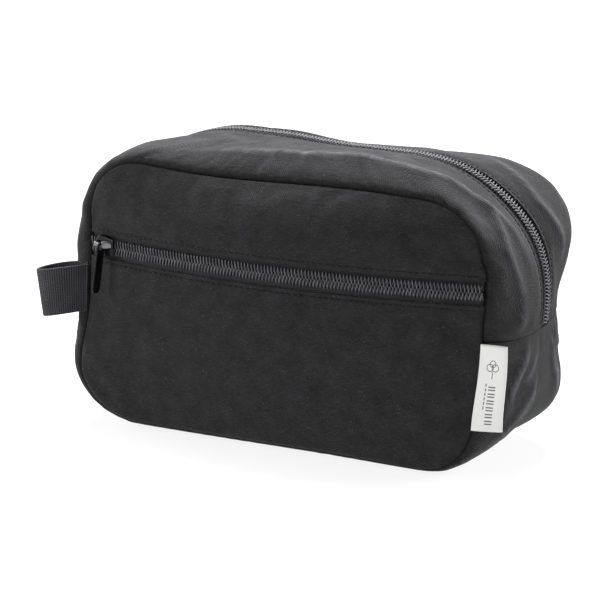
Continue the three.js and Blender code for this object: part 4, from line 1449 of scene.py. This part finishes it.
@dataclass
class Slider:
    """A zip's slider and pull tab, in a frame of along, across and out of the canvas.

    Attributes:
        zip_name: the zip it belongs to.
        bodies: the CAD bodies of the slider and of its tab.
        edge_on: whether the tab hangs edge-on from the crown's bar.
        body_slide_mm: how far along the zip the slider has been left from its stop.
        tab_slide_mm: how far the tab has slid along the crown's bar with it.
        crown_up_mm: how far the crown stands off the middle of the plates, across the zip.
    """

    zip_name: str
    bodies: tuple[str, str]
    edge_on: bool
    wardrobe: Wardrobe
    shape: BagShape
    crown_bar_mm: float = 5.1
    tab_shift_mm: float = -1.4
    body_slide_mm: float = 0.0
    crown_up_mm: float = 0.0
    tab_slide_mm: float = 0.0
    lean: float = math.radians(8)
    flat_tab_shift_mm: float = -1.9
    flat_tab_height_mm: float = 3.35
    tab_mm: tuple[float, float, float] = (27.0, 5.4, 1.2)

    def frame(self) -> Matrix:
        """Where the slider sits, from its tab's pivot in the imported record."""
        joint = self.shape.joints[f"{self.bodies[1]}_swing"]
        pivot = Vector(joint["pos_m"])
        if self.edge_on:
            along = -Vector(joint["axis"]).normalized()
            across = Vector((0, 0, 1))
            shift, height = self.tab_shift_mm, self.crown_bar_mm
        else:
            along, across = Vector((0, 0, 1)), Vector((0, 1, 0))
            shift, height = self.flat_tab_shift_mm, self.flat_tab_height_mm
        out = along.cross(across)
        centre = pivot - along * shift * MM - out * height * MM
        return Matrix.Translation(centre) @ Matrix((along, across, out)).transposed().to_4x4()

    def body_parts(self) -> tuple[list[bpy.types.Object], bpy.types.Object]:
        """The slider's top plate with its flanges and back plate, and its crown."""
        half = [(-6.2, 3.6), (-5.4, 4.9), (-4.0, 5.35), (-1.0, 5.35), (2.4, 4.95), (5.0, 4.6), (6.2, 4.3)]
        outline = [(x, y) for x, y in half] + [(x, -y) for x, y in half[::-1]]
        plate = bevelled(prism("plate", outline, 1.05, 2.25), 0.45)
        parts = [plate]
        for side in (1, -1):
            # The flanges stand only where the plate is wide enough to clear the coils' outer turns.
            edge = half[1:5]
            rail = [(x, side * y) for x, y in edge] + [(x, side * (y - 0.45)) for x, y in edge[::-1]]
            rail = rail if side < 0 else rail[::-1]
            parts.append(bevelled(prism("flange", rail, -0.9, 1.4), 0.12))
        parts.append(bevelled(prism("back_plate", outline, -4.1, -3.1), 0.3))
        arch = np.array(
            [(-4.9, 2.0), (-4.75, 3.6), (-4.2, 4.75), (-3.1, 5.15), (-1.4, 5.15), (0.2, 4.75), (2.0, 3.9), (3.8, 2.9),
             (5.0, 2.0)]
        )
        fine = np.linspace(0, len(arch) - 1, 33)
        marks = np.arange(len(arch))
        line = np.stack([np.interp(fine, marks, arch[:, axis]) for axis in (0, 1)], axis=1)
        normal = left_of(evened(line, 3))
        wide = np.interp(line[:, 0], [-5, -3.4, -2.2, -0.2, 1.0, 2.8, 5], [3.0, 2.4, 2.1, 2.2, 3.9, 3.9, 2.6]) / 2
        section = [(1, 1), (0.6, 1.25), (-0.6, 1.25), (-1, 1), (-1, -1), (1, -1)]
        thick = 0.6
        points = np.array(
            [
                (spot[0] + n[0] * h * thick, w * s, spot[1] + n[1] * h * thick)
                for spot, n, w in zip(line, normal, wide)
                for s, h in section
            ]
        )
        sides = len(section)
        number = np.arange(len(points)).reshape(-1, sides)
        after = np.roll(number, -1, axis=1)
        faces = np.stack([number[:-1], after[:-1], after[1:], number[1:]], axis=-1).reshape(-1, 4).tolist()
        faces += [number[0, ::-1].tolist(), number[-1].tolist()]
        return parts, bevelled(new_object("crown", points * MM, faces), 0.3)

    def tab_mesh(self) -> bpy.types.Object:
        """The pull tab, hanging along -y with its thickness along z and its pivot at the origin."""
        length, width, thick = self.tab_mm
        half = width / 2
        eye_half, eye_low, eye_high, top = 1.4, -4.0, -0.6, 0.6
        if self.edge_on:
            eye_half, eye_low, eye_high, top = 1.45, -1.45, 1.45, half
        bottom = top - length
        outer, hole = [], []
        sides = 40
        for n in range(sides):
            turn = 2 * math.pi * n / sides
            cx, sy = math.cos(turn), math.sin(turn)
            round_x = math.copysign(abs(cx) ** 0.8, cx)
            lobe = half if sy < 0 or self.edge_on else 1.2
            y = (top - lobe if sy >= 0 else bottom + half) + lobe * math.copysign(abs(sy) ** 0.9, sy)
            narrow = np.interp(y, [bottom, bottom + 4, -6, top], [1.0, 1.0, 0.92, 1.0])
            outer.append((half * round_x * narrow, y))
            middle_y, half_y = (eye_low + eye_high) / 2, (eye_high - eye_low) / 2
            power = 1.0 if self.edge_on else 0.5
            hole_x, hole_y = math.copysign(abs(cx) ** power, cx), math.copysign(abs(sy) ** power, sy)
            hole.append((eye_half * hole_x, middle_y + half_y * hole_y))
        levels = []
        for z in (-thick / 2, thick / 2):
            levels.append([(x * MM, y * MM, z * MM) for x, y in outer])
            levels.append([(x * MM, y * MM, z * MM) for x, y in hole])
        points = [point for level in levels for point in level]
        number = np.arange(4 * sides).reshape(4, sides)
        after = np.roll(number, -1, axis=1)
        faces = []
        for a, b in ((1, 0), (2, 3), (0, 2), (3, 1)):
            faces += np.stack([number[a], after[a], after[b], number[b]], axis=-1).tolist()
        return bevelled(new_object("tab", points, faces), 0.3)

    def build(self) -> None:
        """Builds the slider and its tab where the frame has them."""
        place = self.frame()
        node = f"{self.zip_name}_slider"
        plates, crown = self.body_parts()
        slider = joined(node + "_casting", plates)
        crown.name = node + "_crown"
        # The crown gets the pale zinc finish, a painted highlight.
        for piece, finish, up in ((slider, "enamel", 0.0), (crown, "rubbed", self.crown_up_mm)):
            piece.data.transform(place @ Matrix.Translation(Vector((self.body_slide_mm, up, 0)) * MM))
            self.wardrobe.dress(piece, finish, self.bodies[0], [node])
        tab = self.tab_mesh()
        tab.name = f"{self.zip_name}_puller_tab"
        if self.edge_on:
            tab.data.transform(Matrix.Rotation(-self.lean, 4, "X") @ Matrix.Rotation(math.pi / 2, 4, "Y"))
            shift = Vector((self.tab_shift_mm + self.tab_slide_mm, 0, self.crown_bar_mm))
        else:
            tab.data.transform(Matrix.Rotation(-math.pi / 2, 4, "Z"))
            shift = Vector((self.flat_tab_shift_mm, 0, self.flat_tab_height_mm))
        tab.data.transform(place @ Matrix.Translation(shift * MM))
        self.wardrobe.dress(tab, "enamel", self.bodies[1], [f"{self.zip_name}_puller"])


@dataclass
class CarryLoop:
    """A length of ribbed webbing, folded into a loop and sewn into the left front seam."""

    wardrobe: Wardrobe
    shape: BagShape
    width_mm: float = 25.0
    thick_mm: float = 1.5
    rib_mm: float = 1.25
    rib_height_mm: float = 0.28
    reach_mm: float = 27.6
    half_mm: float = 9.6
    twist_mm: float = 1.4
    droop_mm: float = 5.4
    flare: float = 0.17

    def build(self) -> None:
        """Builds the loop with its ribs."""
        low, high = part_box("carry_loop")
        root = np.array([high[0] - 0.5 * MM, self.shape.joints["loop_swing"]["pos_m"][1], low[2]])
        turn = np.linspace(0.42, 2 * math.pi - 0.42, 700)
        out = self.reach_mm * (1 - np.cos(turn)) / 2
        side = self.half_mm * np.sin(turn) * np.sin(turn / 2) ** 0.9
        lead = np.linspace(0, 1, 20, endpoint=False)
        x = np.concatenate([out[0] * lead, out, out[-1] * (1 - lead[::-1])])
        y = np.concatenate([0.8 + (side[0] - 0.8) * lead, side, -0.8 + (side[-1] + 0.8) * (1 - lead[::-1])])
        lean = math.radians(8)
        plan = np.stack([-x * math.cos(lean) + y * math.sin(lean), -x * math.sin(lean) - y * math.cos(lean)], axis=1)
        way = way_along(plan)
        count = int(way[-1] / self.rib_mm * 8)
        even = np.linspace(0, way[-1], count)
        plan = np.stack([np.interp(even, way, plan[:, axis]) for axis in (0, 1)], axis=1)
        normal = left_of(evened(plan, 12))
        across = np.array([0, 0.25, 0.7, 1.3, *np.linspace(2.2, self.width_mm - 2.2, 17),
                           self.width_mm - 1.3, self.width_mm - 0.7, self.width_mm - 0.25, self.width_mm])
        edge = np.minimum(across, self.width_mm - across)
        rim = np.sqrt(np.clip(1 - (1 - np.clip(edge / 0.7, 0, 1)) ** 2, 0, 1)) * 0.5 + 0.5
        rib = np.abs(np.sin(math.pi * even / self.rib_mm)) * self.rib_height_mm
        half = (self.thick_mm / 2 - self.rib_height_mm) * rim[None, :] + rib[:, None] * rim[None, :]
        reach_share = np.clip(-plan[:, 0] / self.reach_mm, 0, 1)
        drop = self.droop_mm * reach_share**1.3
        layers = []
        for sign in (1, -1):
            flat = plan[:, None] + normal[:, None] * (sign * half)[..., None]
            flat[..., 0] *= 1 + self.flare * (across / self.width_mm - 0.85)
            twist = self.twist_mm * smoothstep(0, way[-1], even)
            height = across[None, :] - (drop - twist)[:, None] + 0 * half
            layers.append(root + np.concatenate([flat, height[..., None]], axis=-1) * MM)
        uv = np.stack(np.broadcast_arrays(even[:, None] * MM, across[None, :] * MM), axis=-1)
        # Painted shade in the grooves between the ribs.
        rib_groove_painted_shade = np.repeat((rib / self.rib_height_mm - 0.75)[:, None] * 1.2, len(across), axis=1)
        piece = slab_mesh("carry_loop_webbing", layers[0], layers[1], uv, wear=np.minimum(rib_groove_painted_shade, 0))
        self.wardrobe.dress(piece, "webbing", "loop", ["carry_loop"])


@dataclass
class SideLabel:
    """A white ribbon label, folded over and sewn into the right front seam by its cut ends."""

    wardrobe: Wardrobe
    shape: BagShape
    thick_mm: float = 0.32
    raised_mm: float = 1.0

    def build(self) -> None:
        """Builds the folded ribbon."""
        low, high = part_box("side_label")
        height = np.linspace(low[2] + self.raised_mm * MM, high[2] + self.raised_mm * MM, 40)
        reach = (high[0] - low[0]) / MM
        # The ribbon's section in plan: out along the near leaf, round the fold, back along the far leaf.
        near = [(-1.2, -0.35), (1, -0.55), (4, -0.72), (8, -0.8), (12, -0.72), (reach - 1.2, -0.52)]
        fold = [(reach - 0.3, -0.28), (reach, 0.05), (reach - 0.3, 0.38)]
        far = [(reach - 1.2, 0.6), (12, 0.72), (8, 0.66), (4, 0.5), (1, 0.25), (-1.2, 0.1)]
        section = np.array(near + fold + far)
        marks = np.linspace(0, len(section) - 1, 70)
        plan = np.stack([np.interp(marks, np.arange(len(section)), section[:, axis]) for axis in (0, 1)], axis=1)
        normal = -left_of(evened(plan, 2))
        seam = self.shape.front(np.full_like(height, self.shape.half_width), height)
        share = (height - height[0]) / (height[-1] - height[0])
        layers = []
        for sign in (1, -1):
            flat = plan[:, None] + sign * normal[:, None] * self.thick_mm / 2
            out = flat[..., 0:1]
            bow = np.sin(share * math.pi)[None, :, None] * 0.5 * (out / reach) ** 2
            curl = (0.5 - share)[None, :, None] * 1.4 * (out / reach) ** 2
            x = seam[None, :, 0:1] + out * (1.0 - 0.12 * share[None, :, None]) * MM
            y = seam[None, :, 1:2] + (flat[..., 1:2] - 0.2 - bow + curl) * MM
            z = height[None, :, None] + out / reach * (1.1 - 0.8 * share[None, :, None]) * MM
            layers.append(np.concatenate([x, y, z], axis=-1))
        way = way_along(plan)
        uv = np.stack(np.broadcast_arrays(way[:, None] * MM, height[None, :]), axis=-1)
        piece = slab_mesh("side_label_ribbon", layers[0], layers[1], uv)
        self.wardrobe.dress(piece, "label", "bag", ["side_label"])


# ---- studio ---------------------------------------------------------------------------------------
@dataclass(frozen=True)
class Softbox:
    """A soft light aimed at the bag.

    Attributes:
        name: its name.
        position: where it stands.
        size: its width and height.
        watts: its power.
    """

    name: str
    position: tuple[float, float, float]
    size: tuple[float, float]
    watts: float


@dataclass
class Studio:
    """The camera, the pale floor and the soft lights."""

    aim: Vector = field(default_factory=lambda: Vector((0, 0, 0.07)))
    distance: float = 1.45
    yaw: float = 22.8
    pitch: float = 13.1
    roll: float = 2.2
    lens_mm: float = 163.9
    sensor_mm: float = 36.0
    shift_right: float = -0.0328
    shift_up: float = 0.0018

    def camera(self) -> None:
        """Sets the camera at the bag's three-quarter front view."""
        data = bpy.data.cameras.new("camera")
        data.sensor_width = self.sensor_mm
        data.lens = self.lens_mm
        data.shift_x = self.shift_right
        data.shift_y = self.shift_up
        data.clip_start = 0.05
        yaw, pitch = math.radians(self.yaw), math.radians(self.pitch)
        view = Vector((-math.sin(yaw) * math.cos(pitch), math.cos(yaw) * math.cos(pitch), -math.sin(pitch)))
        side = Vector((math.cos(yaw), math.sin(yaw), 0))
        up = side.cross(view)
        turned = Matrix((side, up, -view)).transposed() @ Matrix.Rotation(math.radians(self.roll), 3, "Z")
        camera = placed("camera", data)
        camera.matrix_world = Matrix.Translation(self.aim - view * self.distance) @ turned.to_4x4()
        bpy.context.scene.camera = camera

    def floor(self) -> None:
        """Lays a pale floor well past the view."""
        reach = 6.0
        points = np.array([(-reach, -reach, 0), (reach, -reach, 0), (reach, reach, 0), (-reach, reach, 0)])
        floor = new_object("studio_floor", points - [0, 0, 0.0002], np.array([[0, 1, 2, 3]]), smooth=False)
        paper, _, shader = new_material("paper_backdrop_white")
        set_inputs(shader, {
            "Base Color": linear("#707070"), "Roughness": 0.9, "Specular IOR Level": 0.1,
            "Emission Color": linear("#ffffff"), "Emission Strength": 0.86,
        })
        floor.data.materials.append(paper)

    def lights(self) -> None:
        """Hangs the softboxes and lights the surroundings evenly."""
        boxes = [
            Softbox("key_softbox_overhead", (-0.35, 0.7, 1.75), (1.1, 0.9), 126),
            Softbox("fill_softbox_front_left", (-1.6, -1.5, 0.8), (1.0, 1.0), 28),
            Softbox("rim_softbox_right", (1.5, 0.9, 0.75), (0.7, 1.0), 42),
            Softbox("rim_softbox_left", (-1.9, 0.2, 0.8), (0.8, 1.2), 34),
        ]
        for box in boxes:
            data = bpy.data.lights.new(box.name, "AREA")
            data.shape = "RECTANGLE"
            data.size, data.size_y = box.size
            data.energy = box.watts
            lamp = placed(box.name, data)
            lamp.location = box.position
            lamp.rotation_euler = (self.aim - Vector(box.position)).to_track_quat("-Z", "Y").to_euler()
        world = bpy.data.worlds.new("studio_surroundings")
        world.use_nodes = True
        set_inputs(world.node_tree.nodes["Background"], {"Color": linear("#ffffff"), "Strength": 0.25})
        bpy.context.scene.world = world

    def build(self) -> None:
        """Sets up camera, floor and lights."""
        self.camera()
        self.floor()
        self.lights()
        bpy.context.scene.view_settings.view_transform = "Standard"


# Pushes that a filled, handled bag shows: the top right corner sags, the lower left swells forward.
NUDGES = (
    Nudge((94, -52, 136), 22, (-1.5, 0.0, -2.6)),
    Nudge((-40, -54, 146), 34, (0.0, 0.0, -1.9)),
    Nudge((111, -51, 106), 16, (-2.6, 0.0, 0.0)),
    Nudge((111, -51, 26), 18, (-3.0, 0.0, 0.0)),
    Nudge((-112, -52, 33), 15, (-3.2, -3.0, 0.0)),
    Nudge((-104, -20, 142), 22, (-4.5, 0.0, 5.0)),
    Nudge((112, 44, 124), 24, (6.0, 0.0, 3.0)),
    Nudge((119, 30, 82), 15, (-4.5, 0.0, 0.0)),
    Nudge((116, 28, 24), 15, (4.5, 0.0, 0.0)),
    Nudge((118, 0, 112), 22, (2.2, 0.0, 0.0)),
    Nudge((56, 0, 158), 16, (0.0, 0.0, -1.4)),
    Nudge((34, 36, 158), 24, (0.0, 0.0, -4.2)),
    Nudge((98, 24, 8), 28, (-2.0, 0.0, 2.6)),
    Nudge((-14, 36, 158), 26, (0.0, 0.0, -5.5)),
    Nudge((-60, 36, 156), 24, (0.0, 0.0, -5.0)),
)
# Folds of the gusset. Places 3 to 8 run from the right cross seam over the top to the left one.
CREASES = (
    Crease(
        ((6.15, -45), (5.8, -41), (5.45, -40), (5.2, -37), (4.85, -38), (4.6, -32), (4.4, -21), (4.1, -16)),
        3.4, 4.4, 1.3,
    ),
    Crease(((4.6, -26), (4.47, -30), (4.3, -36), (4.1, -33), (3.2, -32)), 2.6, 4.0),
    Crease(((5.7, -22), (5.3, -24), (4.9, -22), (4.6, -18)), -1.2, 6.0),
    Crease(((4.8, 32), (4.6, 24), (4.45, 19), (4.3, 23), (4.15, 30)), 3.0, 4.5),
    Crease(((2.95, 28), (2.6, 18), (2.3, 5), (2.0, -12), (1.75, -30), (1.55, -42)), 3.2, 2.6, 1.7),
    Crease(((2.98, -24), (2.5, -29), (2.1, -35), (1.8, -38)), 2.4, 2.4, 1.8),
    Crease(((2.95, 10), (2.5, 13), (2.1, 14), (1.7, 26)), 2.4, 2.6, 3.4),
    Crease(((2.98, -8), (2.6, -13), (2.3, -20), (2.1, -27)), 1.4, 2.2, 2.4),
    Crease(((7.2, 25), (6.8, 32), (6.4, 36), (6.0, 30)), 1.8, 5.0),
    Crease(((8.8, -30), (9.2, -14), (9.5, 6), (9.7, 20)), 1.8, 6.0),
    Crease(((7.7, -34), (7.3, -30), (6.9, -36), (6.6, -40)), 1.8, 6.0),
)


def main_zip(shape: BagShape, wardrobe: Wardrobe) -> Zip:
    """Lays out the zip over the top and down both ends, starting at the left cross seam."""
    places = np.linspace(7.985, 3.015, 1500)
    band = shape.gusset(places[:, None], np.array([[-MM, 0, MM]]))
    normals = grid_normals(band, shape.centre)[:, 1]
    across = np.broadcast_to(np.array([0.0, -1.0, 0.0]), normals.shape)
    return Zip("main_zip", band[:, 1], normals, across, ("front", "rear"), wardrobe)


def pocket_zip(shape: BagShape, wardrobe: Wardrobe) -> Zip:
    """Lays out the zip across the front, from left to right."""
    end = shape.half_width - 1.2 * MM
    x = np.linspace(-end, end, 800)
    route = shape.front(x, np.full_like(x, shape.pocket_zip))
    normals = unit((route - np.array([0, shape.arc_centre, shape.pocket_zip])) * np.array([1, 1, 0]))
    across = np.broadcast_to(np.array([0.0, 0.0, 1.0]), normals.shape)
    return Zip("pocket_zip", route, normals, across, ("upper", "lower"), wardrobe)


def main() -> None:
    """Builds the studio and every piece of the bag, in order."""
    logging.basicConfig(level=logging.INFO, format="%(name)s: %(message)s")
    Studio().build()
    wardrobe = Wardrobe()
    shape = BagShape(nudges=NUDGES, creases=CREASES)
    CanvasShell(shape, Filling(shape), wardrobe).build()
    Linings(shape, wardrobe).build()
    main_zip(shape, wardrobe).build()
    pocket_zip(shape, wardrobe).build()
    left_along = {"body_slide_mm": 3.8, "crown_up_mm": 1.5, "tab_slide_mm": 5.4}
    Slider("pocket_zip", ("pocket_slider", "pocket_puller"), True, wardrobe, shape, **left_along).build()
    Slider("main_zip", ("main_slider", "main_puller"), False, wardrobe, shape).build()
    CarryLoop(wardrobe, shape).build()
    SideLabel(wardrobe, shape).build()
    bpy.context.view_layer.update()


if __name__ == "__main__":
    main()
